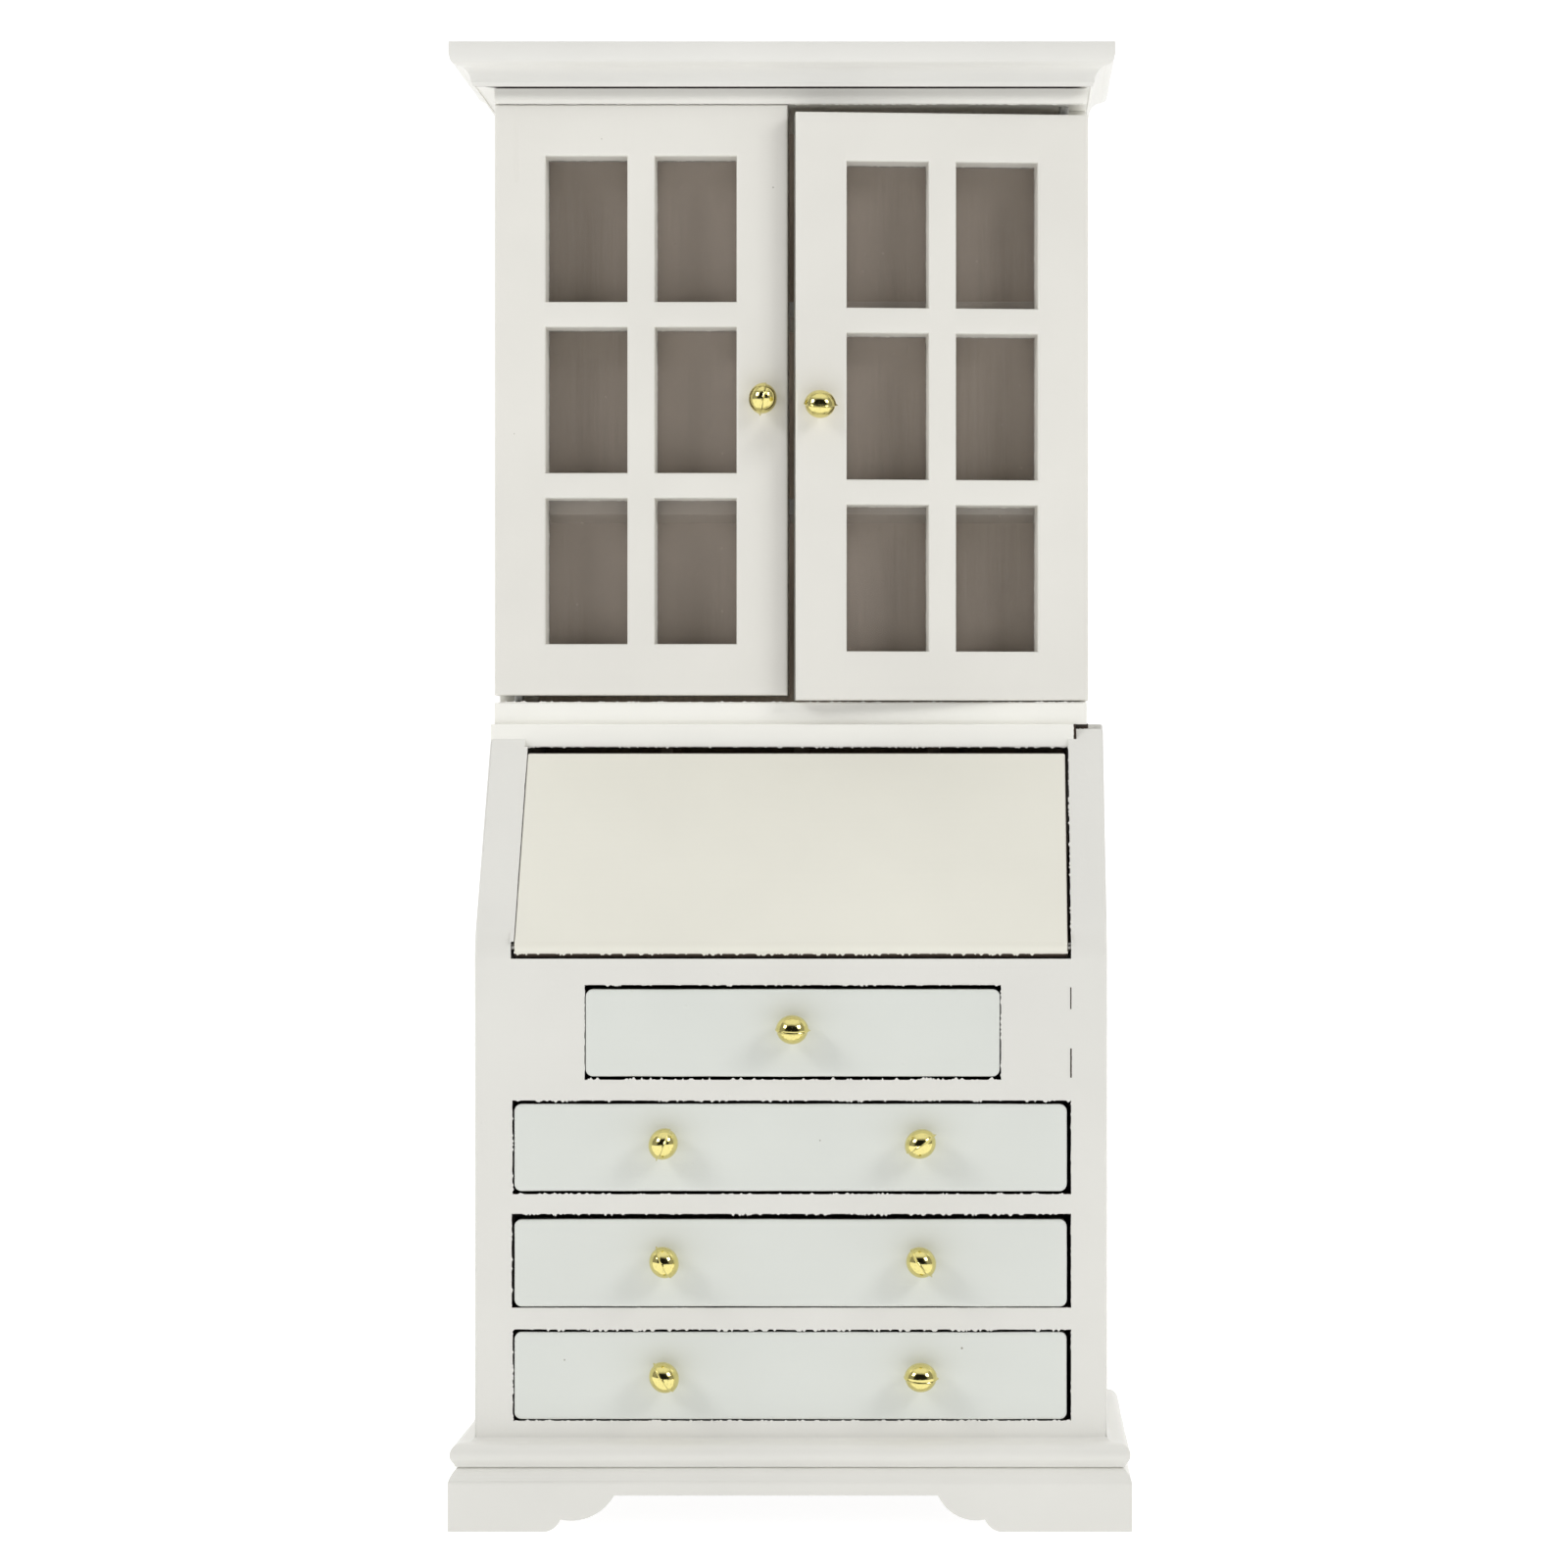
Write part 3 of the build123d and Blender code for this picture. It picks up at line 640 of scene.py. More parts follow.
def rounded_rectangle(low, high, radius, steps=6):
    """Anticlockwise outline of a rectangle with round corners, each a quarter circle."""
    t = np.linspace(0, math.pi / 2, steps + 1)
    quarter = np.stack([np.cos(t), np.sin(t)], axis=1) * radius
    turned = [quarter]
    for _ in range(3):
        turned.append(np.stack([-turned[-1][:, 1], turned[-1][:, 0]], axis=1))
    centres = [
        (high[0] - radius, high[1] - radius), (low[0] + radius, high[1] - radius),
        (low[0] + radius, low[1] + radius), (high[0] - radius, low[1] + radius),
    ]
    return np.concatenate([arc + np.array(centre) for arc, centre in zip(turned, centres)])


def smooth_noise(count, waves, generator):
    """A smooth random line of values of about -1 to 1: sines of random phase, fewer and stronger first."""
    s = np.linspace(0, 2 * math.pi, count)
    orders = np.arange(1, waves + 1)
    phases = generator.uniform(0, 2 * math.pi, waves)
    weights = 1 / np.sqrt(orders)
    wave = np.sin(s[:, None] * orders[None] + phases[None]) * weights[None]
    return wave.sum(axis=1) / weights.sum() * 2


def turn_about_z(points, centre, angle):
    """Points turned about an upright line: x cos - y sin and x sin + y cos, from the centre."""
    x, y, z = (points - centre).T
    c, s = math.cos(angle), math.sin(angle)
    return np.stack([x * c - y * s, x * s + y * c, z], axis=1) + centre


# ---- Cornice and base mouldings ----
def quarter(start, end, hollow, steps=10):
    """Points from start to end along a quarter of an ellipse: hollow if it leaves start upright."""
    t = np.linspace(0, math.pi / 2, steps)
    across = 1 - np.cos(t) if hollow else np.sin(t)
    upward = np.sin(t) if hollow else 1 - np.cos(t)
    return np.array(start) + np.stack([across, upward], axis=1) * (np.array(end) - np.array(start))


def crown_profile(projection, height):
    """Outline of the crown in (outwards, up), and how bare each of its points is.

    A thin lip stands over a shallow recess, then come a hollow cove, a round quirk and a flat fillet whose
    arrises are softened by the paint. The recess's points are the bare ones: their dark colour is painted
    shade under the lip. Every curve is a quarter of an ellipse between two places.
    """
    lip, fillet, recess_height = 1.6 * MM, 2.05 * MM, 0.16 * MM
    foot = height - fillet
    shaded_recess = np.array([(0.0, recess_height), (0.8 * lip, recess_height), (0.84 * lip, 0.0)])
    nose = quarter((lip, 0.05 * MM), (lip + 0.15 * MM, 0.45 * MM), True, 4)
    cove = quarter((lip + 0.2 * MM, 0.5 * MM), (projection - 0.95 * MM, foot - 0.75 * MM), True)
    quirk_start = (projection - 0.85 * MM, foot - 0.65 * MM)
    quirk = quarter(quirk_start, (projection - 0.1 * MM, foot + 0.2 * MM), False, 6)
    top = quarter((projection, foot + 0.5 * MM), (projection, height - 0.08 * MM), True, 3)
    end = np.array([(projection - 0.03 * MM, height - 0.02 * MM), (projection - 0.1 * MM, height)])
    profile = np.concatenate([shaded_recess, nose, cove, quirk, top, end])
    bare = np.zeros(len(profile))
    # Painted shade: the recess under the lip is darkened.
    bare[:len(shaded_recess)] = (1.0, 1.0, 0.6)
    return profile, bare


def bead_profile(projection, height):
    """Outline of the base moulding in (outwards, up), and how bare each of its points is: none at all.

    It is a bead that is nearly a half circle, flattened where it lies on the apron, with a shallow round
    corner up to the desk.
    """
    radius = 1.35 * MM
    middle = 0.1 * MM + radius
    t = np.linspace(math.radians(-48), math.radians(80), 18)
    bead = np.stack([projection - radius + radius * np.cos(t), middle + radius * np.sin(t)], axis=1)
    foot = np.array([(projection - 0.62 * MM, 0.0)])
    corner = quarter((0.8 * MM, 2 * radius + 0.12 * MM), (0.0, height), False, 5)
    profile = np.concatenate([foot, bead, corner])
    return profile, np.zeros(len(profile))


def carried_moulding(profile, bare, seat, wall, back, run, waviness, generator):
    """A moulding's closed section carried along one straight run.

    Profile points (outwards, up) follow the run; at a mitred end each point stops where its own outward
    distance meets the wall's diagonal. Small smooth noise along the run, always inwards and strongest at
    the outermost points, stands for hand sanding. The run is "front", "left" or "right"; the wall is its
    left, right, front and floor; back is where the side runs end.
    """
    left, right, front, floor = wall
    section = np.concatenate([profile, [(-seat, profile[-1][1]), (-seat, profile[0][1])]])
    stations, highest_noise = 41, 1.1
    share = np.linspace(0, 1, stations)
    out, up = section[:, 0], section[:, 1]
    ripple = (smooth_noise(stations, 9, generator) - highest_noise) * waviness
    ripple *= np.sin(share * math.pi)
    out_moved = out[None] + ripple[:, None] * np.clip(out / out.max(), 0, 1)[None]
    up_all = np.broadcast_to(floor + up[None], out_moved.shape)
    if run == "front":
        along = (left - out)[None] * (1 - share)[:, None] + (right + out)[None] * share[:, None]
        points = np.stack([along, front - out_moved, up_all], axis=-1)
    else:
        along = (front - out)[None] * (1 - share)[:, None] + back * share[:, None]
        side = left - out_moved if run == "left" else right + out_moved
        points = np.stack([side, along, up_all], axis=-1)
    points = points.reshape(-1, 3)
    faces = outward(points, bar_faces(stations, len(section)))
    return points, faces, np.tile(np.concatenate([bare, [0.0, 0.0]]), stations)


class DESK_OT_cornice(bpy.types.Operator):
    """Build the crown moulding's three mitred strips and the board inside them"""

    bl_idname = "desk.cornice"
    bl_label = "Cornice"

    def execute(self, context):
        generator = np.random.default_rng(11)
        low, high = corners("crown_front")
        board_low, board_high = corners("cornice_board")
        seat = 3.0 * MM
        projection = board_low[0] - seat - low[0]
        profile, bare = crown_profile(projection, high[2] - low[2])
        wall = (board_low[0] - seat, board_high[0] + seat, low[1] + projection, low[2])
        for run, grain in RUN_GRAIN.items():
            # Only the front run keeps the dark recess, a painted shade line under its lip.
            points, faces, shares = carried_moulding(
                profile, bare * (run == "front"), seat, wall, board_high[1], run, 0.05 * MM, generator
            )
            paint = paint_for("cornice", grain)
            add_piece(f"crown_moulding_{run}", points, faces, paint, CASE, f"crown_{run}", shares)
        softened_copy("cornice_board", SANDED_EDGE, bare_wood("X"))
        return {"FINISHED"}


class DESK_OT_base(bpy.types.Operator):
    """Build the beaded base moulding, the aprons with their bracket feet and the glue blocks"""

    bl_idname = "desk.base"
    bl_label = "Base"

    def execute(self, context):
        generator = np.random.default_rng(12)
        low, high = corners("base_moulding_front")
        wall = (SIDE_LEFT[0][0], SIDE_RIGHT[1][0], DESK_FRONT, low[2])
        profile, bare = bead_profile(DESK_FRONT - low[1], high[2] - low[2])
        for run, grain in RUN_GRAIN.items():
            points, faces, shares = carried_moulding(
                profile, bare, 0.0, wall, DESK_BACK, run, 0.04 * MM, generator
            )
            paint = paint_for("case", grain)
            add_piece(f"bead_moulding_{run}", points, faces, paint, CASE, f"base_moulding_{run}", shares)
        edge = context.scene.desk_paint.board_edge
        above_floor, off_floor = 0.1 * MM, 0.5 * MM
        for run, grain in RUN_GRAIN.items():
            top = corners(f"apron_{run}")[1][2] - SAME_PLACE
            softened_copy(
                f"apron_{run}", edge, paint_for("case", grain),
                is_rounded=lambda a, b: above_floor < min(a[2], b[2]) < top and max(a[2], b[2]) > off_floor,
            )
        softened_copy("foot_blocks", SANDED_EDGE, bare_wood("Z"))
        return {"FINISHED"}


# ---- Cabinet ----
class DESK_OT_cabinet(bpy.types.Operator):
    """Build the cabinet's boards, shelves and back panel"""

    bl_idname = "desk.cabinet"
    bl_label = "Cabinet"

    def execute(self, context):
        edge = context.scene.desk_paint.board_edge
        # The cabinet boards' edges take the whiter board paint: painted light against the shade under the crown.
        softened_copy("cabinet_top_board", CUT_EDGE, paint_for("band", "X"))
        softened_copy("cabinet_bottom_board", edge, paint_for("band", "X"))
        for side in DOORS:
            softened_copy(f"cabinet_side_{side}", CUT_EDGE, paint_for("door", "Z"))
        for number in (1, 2):
            softened_copy(f"shelf_{number}", SANDED_EDGE, paint_for("door", "X"))
        repaint("cabinet_back_panel", bare_wood("Z"))
        return {"FINISHED"}


# ---- Doors ----
def door_lines(low, high, openings, radius, steps):
    """Grid lines across one axis of a door.

    They are the outer edges and every opening's edges, each with the rounding's steps on its solid side,
    and evenly spaced lines between them.
    """
    t = np.linspace(0, math.pi / 2, steps + 1)
    step = radius * (1 - np.cos(t))
    lines = [low + step, high - step]
    for start, end in openings:
        lines += [start - step, end + step]
    edges = np.concatenate(lines)
    between = np.linspace(low, high, 40)
    gap = np.abs(between[:, None] - edges[None]).min(axis=1)
    return np.unique(np.round(np.concatenate([edges, between[gap > radius]]), 8))


def glazed_frame(low, high, columns, rows, hinge_x, glass_depth, radius, paint_end, waviness, generator):
    """A door frame cut from one board, as a relief over a grid of (x, z).

    With s the distance to the nearest edge of the board or an opening, the face lies
    radius - sqrt(radius^2 - (radius - s)^2) behind the door's front where s is under the radius, and at
    the front elsewhere, with a slight smooth waviness. Walls run back from the relief's borders in layers
    of one depth and bareness each: a dark band lies behind the paint's end on the outer edges but the
    hinges', and round the openings just before the glass. Its dark colour is painted shade in the gaps and
    at the glass, with the brown of unpainted wood.
    """
    xs = door_lines(low[0], high[0], columns, radius, 4)
    zs = door_lines(low[2], high[2], rows, radius, 4)
    x, z = np.meshgrid(xs, zs, indexing="ij")
    outer = np.minimum(np.minimum(x - low[0], high[0] - x), np.minimum(z - low[2], high[2] - z))
    nearest = outer
    inside = np.zeros((len(xs) - 1, len(zs) - 1), bool)
    mid_x, mid_z = (xs[1:] + xs[:-1]) / 2, (zs[1:] + zs[:-1]) / 2
    for start_x, end_x in columns:
        for start_z, end_z in rows:
            dx = np.maximum(np.maximum(start_x - x, x - end_x), 0)
            dz = np.maximum(np.maximum(start_z - z, z - end_z), 0)
            nearest = np.minimum(nearest, np.hypot(dx, dz))
            in_x = (mid_x > start_x) & (mid_x < end_x)
            in_z = (mid_z > start_z) & (mid_z < end_z)
            inside |= in_x[:, None] & in_z[None]
    fall = np.clip(radius - nearest, 0, radius)
    wave_x = smooth_noise(len(xs), 5, generator)[:, None]
    wave_z = smooth_noise(len(zs), 5, generator)[None]
    relief = low[1] + radius - np.sqrt(radius ** 2 - fall ** 2) + waviness * (2 + wave_x + wave_z) / 2
    on_edge = outer < 0.5 * radius
    painted = np.zeros_like(x)
    # Dark bands, painted shade with unpainted wood: on the free edges and round the glass.
    bare_and_shade_edge = 1.0 * (on_edge & (np.abs(x - hinge_x) > radius))
    bare_and_shade_opening = 1.0 * ~on_edge
    rim = low[1] + radius
    glass = high[1] - glass_depth
    layers = (
        (relief, painted), (rim + paint_end / 2, painted),
        (rim + paint_end, bare_and_shade_edge), (rim + 5 * paint_end, bare_and_shade_edge), (rim + 6 * paint_end, painted),
        (glass - 2.5 * paint_end, painted), (glass - 2 * paint_end, bare_and_shade_opening), (glass, bare_and_shade_opening),
        (high[1], painted),
    )
    points = np.concatenate([np.stack([x, y + painted, z], axis=-1).reshape(-1, 3) for y, _ in layers])
    bare = np.concatenate([share.ravel() for _, share in layers])
    back = (len(layers) - 1) * x.size
    solid = ~inside
    number = np.arange(x.size).reshape(x.shape)
    quads = np.stack([number[:-1, :-1], number[1:, :-1], number[1:, 1:], number[:-1, 1:]], axis=-1)[solid]
    faces = [quads, quads[:, ::-1] + back]
    padded = np.pad(solid, 1)
    here = padded[1:-1, 1:-1]
    borders = (
        (padded[:-2, 1:-1], number[:-1, :-1], number[:-1, 1:]),
        (padded[2:, 1:-1], number[1:, 1:], number[1:, :-1]),
        (padded[1:-1, :-2], number[1:, :-1], number[:-1, :-1]),
        (padded[1:-1, 2:], number[:-1, 1:], number[1:, 1:]),
    )
    for neighbour, first, second in borders:
        edge = here & ~neighbour
        a, b = first[edge], second[edge]
        for layer in range(len(layers) - 1):
            near, far = layer * x.size, (layer + 1) * x.size
            faces.append(np.stack([b + near, a + near, a + far, b + far], axis=-1))
    faces = np.concatenate(faces)
    used, renumbered = np.unique(faces, return_inverse=True)
    return points[used], renumbered.reshape(faces.shape).tolist(), bare[used]


class DESK_OT_doors(bpy.types.Operator):
    """Build both glazed doors: the frames, the clear panes behind them and the hinge pins' finish"""

    bl_idname = "desk.doors"
    bl_label = "Doors"

    def execute(self, context):
        paint = context.scene.desk_paint
        interior = context.scene.desk_interior
        generator = np.random.default_rng(13)
        steel = shared_material("drawn_steel_wire", drawn_steel)
        pane = shared_material(
            "clear_polystyrene_sheet", clear_pane, tuple(interior.pane_colour), interior.pane_haze,
            CABINET_MIDDLE, (CABINET_HIGH[0] - CABINET_LOW[0]) / 2,
        )
        for side in DOORS:
            self.build_door(side, paint, generator, pane)
            repaint(f"door_{side}_pins", steel)
        return {"FINISHED"}

    def build_door(self, side, paint, generator, pane):
        """One door, built closed and then turned about its pins as far as it stands ajar."""
        hand = -1 if side == "left" else 1
        hinge = np.array(joint(f"door_{side}_hinge")["pos_m"])
        turn = hand * DOOR_AJAR[side]
        closed = {
            part: turn_about_z(node_points(f"door_{side}_{part}"), hinge, -turn)
            for part in ("frame", "glass")
        }
        low, high = closed["frame"].min(axis=0), closed["frame"].max(axis=0)
        glass_low, glass_high = closed["glass"].min(axis=0), closed["glass"].max(axis=0)
        columns, rows = pane_openings(closed["frame"], low[1])
        points, faces, bare = glazed_frame(
            low, high, columns, rows, low[0] if hand < 0 else high[0], high[1] - glass_low[1],
            paint.pane_edge, paint.paint_end, 0.02 * MM, generator,
        )
        body = f"door_{side}"
        finish = paint_for("door", "Z")
        points = turn_about_z(points, hinge, turn)
        add_piece(f"glazed_door_{side}", points, faces, finish, body, f"door_{side}_frame", bare)
        outline = rounded_rectangle(glass_low[[0, 2]], glass_high[[0, 2]], 0.3 * MM)
        sheet, faces, _ = rounded_prism(outline, glass_low[1], glass_high[1], THIN_EDGE, 2)
        sheet = turn_about_z(sheet[:, [0, 2, 1]], hinge, turn)
        add_piece(f"pane_sheet_{side}", sheet, outward(sheet, faces), pane, body, f"door_{side}_glass")
        skins = self.opening_skins(columns, rows, glass_low[1] - 2 * paint.paint_end, generator)
        if side == "left":
            skins.append(self.paint_ridge(columns[0][0] - 3.6 * MM, low[1], high[2], generator))
        points, faces = joined(skins)
        points = turn_about_z(points, hinge, turn)
        piece = add_piece(f"torn_paint_door_{side}", points, faces, finish, body)

    def opening_skins(self, columns, rows, y, generator):
        """Ragged ends of the paint round each opening, just before the glass."""
        reaches = ((0, 1), (-1, 0), (0, -1), (1, 0))
        skins = []
        for left, right in columns:
            for floor, top in rows:
                ends = ((left, floor), (right, floor), (right, top), (left, top))
                for (x0, z0), (x1, z1), (dx, dz) in zip(ends, ends[1:] + ends[:1], reaches):
                    skins.append(ragged_skin(
                        (x0, y, z0), (x1, y, z1), (dx, 0, dz), 0.12 * MM, 0.15, 0.5, generator,
                    ))
        return skins

    def paint_ridge(self, x, front, top, generator):
        """A low ridge of thick paint down a door's stile, from near its top."""
        start, end = top - 9.5 * MM, top - 0.4 * MM
        return ragged_skin(
            (x, front, start), (x, front, end), (1, 0, 0), 0.35 * MM, 0.6, 0.3, generator, (0, 1.5, 0)
        )


def node_points(node):
    """Places of all vertices of a node's mesh."""
    mesh = frame["nodes"][node].data
    points = np.zeros(len(mesh.vertices) * 3)
    mesh.vertices.foreach_get("co", points)
    return points.reshape(-1, 3)


def ragged_skin(start, end, reach_axis, gap, closing, teeth, generator, depth_axis=(0, 1, 0)):
    """Torn paint along an edge, from start to end: a thin strip that stands out along the reach axis.

    Its height in shares of the gap is the closing, with smooth noise of a fifth of it, plus teeth: peaks
    of random place, of random height up to the given share and of random width, each a bell curve. It
    never closes the gap. Its section is rooted a little way inside the edge.
    """
    point_spacing, tooth_spacing, tooth_widths = 0.09 * MM, 0.55 * MM, (0.07, 0.22)
    least, most = 0.02, 0.95
    rooting, skin, thickness = 0.12 * MM, 0.012 * MM, 0.1 * MM
    start, end = np.array(start, float), np.array(end, float)
    reach_axis, depth_axis = np.array(reach_axis, float), np.array(depth_axis, float)
    length = np.linalg.norm(end - start)
    count = max(12, int(length / point_spacing))
    share = np.linspace(0, 1, count)
    height = closing * (1 + 0.2 * smooth_noise(count, 30, generator))
    peaks = max(2, int(length / tooth_spacing))
    centres = generator.uniform(0, 1, peaks)
    widths = generator.uniform(*tooth_widths, peaks) * MM / length
    tops = teeth * generator.uniform(0, 1, peaks) ** 1.4
    bells = tops[None] * np.exp(-((share[:, None] - centres[None]) / widths[None]) ** 2)
    height = np.clip(height + bells.max(axis=1) + least, least, most) * gap
    base = start + (end - start) * share[:, None]
    root = base - reach_axis * rooting
    back = depth_axis * thickness
    tip = base + reach_axis * height[:, None]
    section = [root, root - depth_axis * skin, tip, tip + back * 0.6, root + back]
    points = np.stack(section, axis=1).reshape(-1, 3)
    return points, outward(points, bar_faces(count, len(section)))


def pane_openings(points, front):
    """Starts and ends of a door's openings along X and along Z, from the corners on its front face.

    A line through openings holds four corners or more, the round hole behind the knob never over two.
    """
    face = points[np.abs(points[:, 1] - front) < SAME_PLACE]
    face = np.unique(np.round(face[:, [0, 2]], 6), axis=0)
    spans = []
    for axis in (0, 1):
        values, counts = np.unique(face[:, axis], return_counts=True)
        lines = values[counts >= 4]
        lines = lines[(lines > values[0]) & (lines < values[-1])]
        spans.append(list(zip(lines[0::2], lines[1::2])))
    return spans


# ---- Desk ----
def slant_foot():
    """Height at which the desk sides' upright front edges turn into the slant."""
    side = node_points("desk_side_left")
    return side[side[:, 1] < DESK_FRONT + SAME_PLACE][:, 2].max()


class DESK_OT_desk_case(bpy.types.Operator):
    """Build the desk's sides, rails, boards, filler blocks, back panel and pigeonholes"""

    bl_idname = "desk.case"
    bl_label = "Desk case"

    def execute(self, context):
        edge = context.scene.desk_paint.board_edge
        bend = np.array([DESK_FRONT, slant_foot()])

        def is_bent(first, second):
            """The edge across the board where its upright front turns into the slant."""
            return np.allclose([first[1:], second[1:]], bend, atol=SAME_PLACE)

        for side, outer in (("left", SIDE_LEFT[0][0]), ("right", SIDE_RIGHT[1][0])):
            softened_copy(
                f"desk_side_{side}", edge, paint_for("case", "Z"),
                is_rounded=lambda a, b: max(abs(a[0] - outer), abs(b[0] - outer)) < SAME_PLACE,
                bend=(is_bent, 2.0 * MM),
            )
        # Rails, bottom board and filler blocks keep paint on their front only; behind it they take the dark
        # colour: painted shade inside the drawer openings, with unpainted wood.
        nosed_gap_shade = paint_for("case", "X", DESK_FRONT)
        rails = [f"drawer_rail_{number}" for number in DRAWERS[:-1]]
        for node in (*rails, "desk_bottom_board", "filler_blocks"):
            repaint(node, nosed_gap_shade)
        repaint("writing_board", paint_for("case", "X"))
        # The desk top's edge takes the whiter board paint: painted light against the shade under the cabinet.
        softened_copy("desk_top_board", SANDED_EDGE, paint_for("band", "X"))
        repaint("desk_back_panel", bare_wood("X"))
        softened_copy("pigeonhole_shelf", CUT_EDGE, bare_wood("X"))
        softened_copy("pigeonhole_dividers", CUT_EDGE, bare_wood("Z"))
        return {"FINISHED"}


class DESK_OT_lid(bpy.types.Operator):
    """Build the fall-front lid with its rounded lower end, and finish its pins"""

    bl_idname = "desk.lid"
    bl_label = "Lid"

    def execute(self, context):
        paint = context.scene.desk_paint
        pivot = np.array(joint("lid_hinge")["pos_m"])
        low, high = corners("lid_panel")
        radius = pivot[1] - low[1]
        along = np.array([math.cos(SLANT), math.sin(SLANT)])
        across = np.array([-along[1], along[0]])
        length = ((high[2] - pivot[2]) - radius * across[1]) / along[1]
        # The section from the pivot, in (along, across): a half circle round it and an eased far end.
        t = np.linspace(math.pi / 2, 3 * math.pi / 2, 17)
        soft = 0.3 * MM
        end = np.array([
            (length - soft, -radius), (length - 0.3 * soft, -radius + 0.3 * soft), (length, -radius + soft),
            (length, radius - soft), (length - 0.3 * soft, radius - 0.3 * soft), (length - soft, radius),
        ])
        round_end = np.stack([radius * np.cos(t), radius * np.sin(t)], axis=1)
        section = np.concatenate([end, round_end])
        outline = section[:, :1] * along + section[:, 1:] * across + pivot[1:]
        points, faces, _ = rounded_prism(outline, low[0], high[0], paint.lid_edge)
        count = len(section)
        # The lid's far end, the underside of its round foot and its side edges take the dark colour: the brown of
        # unpainted end grain, with painted shade in the gaps round the lid and under its foot.
        foot_angle = np.concatenate([np.zeros(len(end)), t])
        bare_and_shade_from, bare_and_shade_to = math.radians(160), math.radians(265)
        at_foot = (foot_angle > bare_and_shade_from) & (foot_angle < bare_and_shade_to)
        at_end = np.tile((section[:, 0] > length - 0.5 * soft) | at_foot, len(points) // count)
        at_sides = (points[:, 2] < low[0] + THIN_EDGE) | (points[:, 2] > high[0] - THIN_EDGE)
        points = points[:, [2, 0, 1]]
        add_piece(
            "fall_front_lid", points, outward(points, faces), paint_for("lid", "X"), "lid", "lid_panel",
            np.maximum(at_end, at_sides),
        )
        self.tear_foot(low, high, pivot, radius, along, across)
        repaint("lid_pins", shared_material("drawn_steel_wire", drawn_steel))
        return {"FINISHED"}

    def tear_foot(self, low, high, pivot, radius, along, across):
        """Torn paint where the lid's face runs out round its foot: it stands along the circle's tangent."""
        turn = math.radians(158)
        outward_way = math.cos(turn) * along + math.sin(turn) * across
        downward = -math.sin(turn) * along + math.cos(turn) * across
        place = pivot[1:] + radius * outward_way
        points, faces = ragged_skin(
            (low[0], *place), (high[0], *place), (0, *downward), 0.5 * MM, 0.3, 1.0,
            np.random.default_rng(17), (0, *-outward_way),
        )
        piece = add_piece("torn_paint_lid", points, faces, paint_for("lid", "X"), "lid")


# ---- Drawers ----
class DESK_OT_drawers(bpy.types.Operator):
    """Build the four drawers: soft-edged painted fronts on boxes of bare wood"""

    bl_idname = "desk.drawers"
    bl_label = "Drawers"

    def execute(self, context):
        paint = context.scene.desk_paint
        generator = np.random.default_rng(14)
        for number in DRAWERS:
            node = f"drawer_{number}_front"
            low, high = corners(node)
            trimmed = high - np.array([0.0 if number == 1 else paint.right_trim, 0, 0])
            outline = rounded_rectangle(low[[0, 2]], trimmed[[0, 2]], paint.drawer_corner)
            outline = densified(outline, 1.2 * MM)
            wobble = 0.04 * MM * (1 + smooth_noise(len(outline), 24, generator))
            outline = outline + inward_steps(outline) * wobble[:, None]
            # Each front gets a dark band behind its rounded edge: painted shade in the gap round the drawer, with
            # unpainted wood.
            points, faces, bare = rounded_prism(
                outline, low[1], high[1], paint.front_edge, 5, paint.paint_end
            )
            points = points[:, [0, 2, 1]]
            add_piece(
                f"drawer_face_{number}", points, outward(points, faces), paint_for("drawer", "X"),
                f"drawer_{number}", node, bare,
            )
            softened_copy(f"drawer_{number}_sides", CUT_EDGE, bare_wood("Y"))
            softened_copy(f"drawer_{number}_back", CUT_EDGE, bare_wood("X"))
            softened_copy(f"drawer_{number}_bottom", THIN_EDGE, bare_wood("X"))
        return {"FINISHED"}


def densified(outline, spacing):
    """The closed outline with extra points on every side that is longer than the spacing."""
    pieces = []
    for start, end in zip(outline, np.roll(outline, -1, axis=0)):
        count = max(1, int(np.linalg.norm(end - start) / spacing))
        share = np.arange(count)[:, None] / count
        pieces.append(start + (end - start) * share)
    return np.concatenate(pieces)


# ---- Knobs ----
# For each knob: the seam's slope in degrees as seen from the front, how far in degrees the seam's plane
# leans down from the line of sight, and the end of the seam, 1 right or -1 left, with a nib of flash.
KNOB_SEAMS = {
    "door_left_knob": ((80.0, 4.0, -1),),
    "door_right_knob": ((-3.0, 13.0, 1),),
    "drawer_1_knobs": ((-2.0, 12.0, 1),),
    "drawer_2_knobs": ((66.0, 4.0, -1), (32.0, 3.0, 1)),
    "drawer_3_knobs": ((-64.0, 3.0, -1), (-52.0, 4.0, 1)),
    "drawer_4_knobs": ((-55.0, 3.0, -1), (-3.0, 13.0, 1)),
}


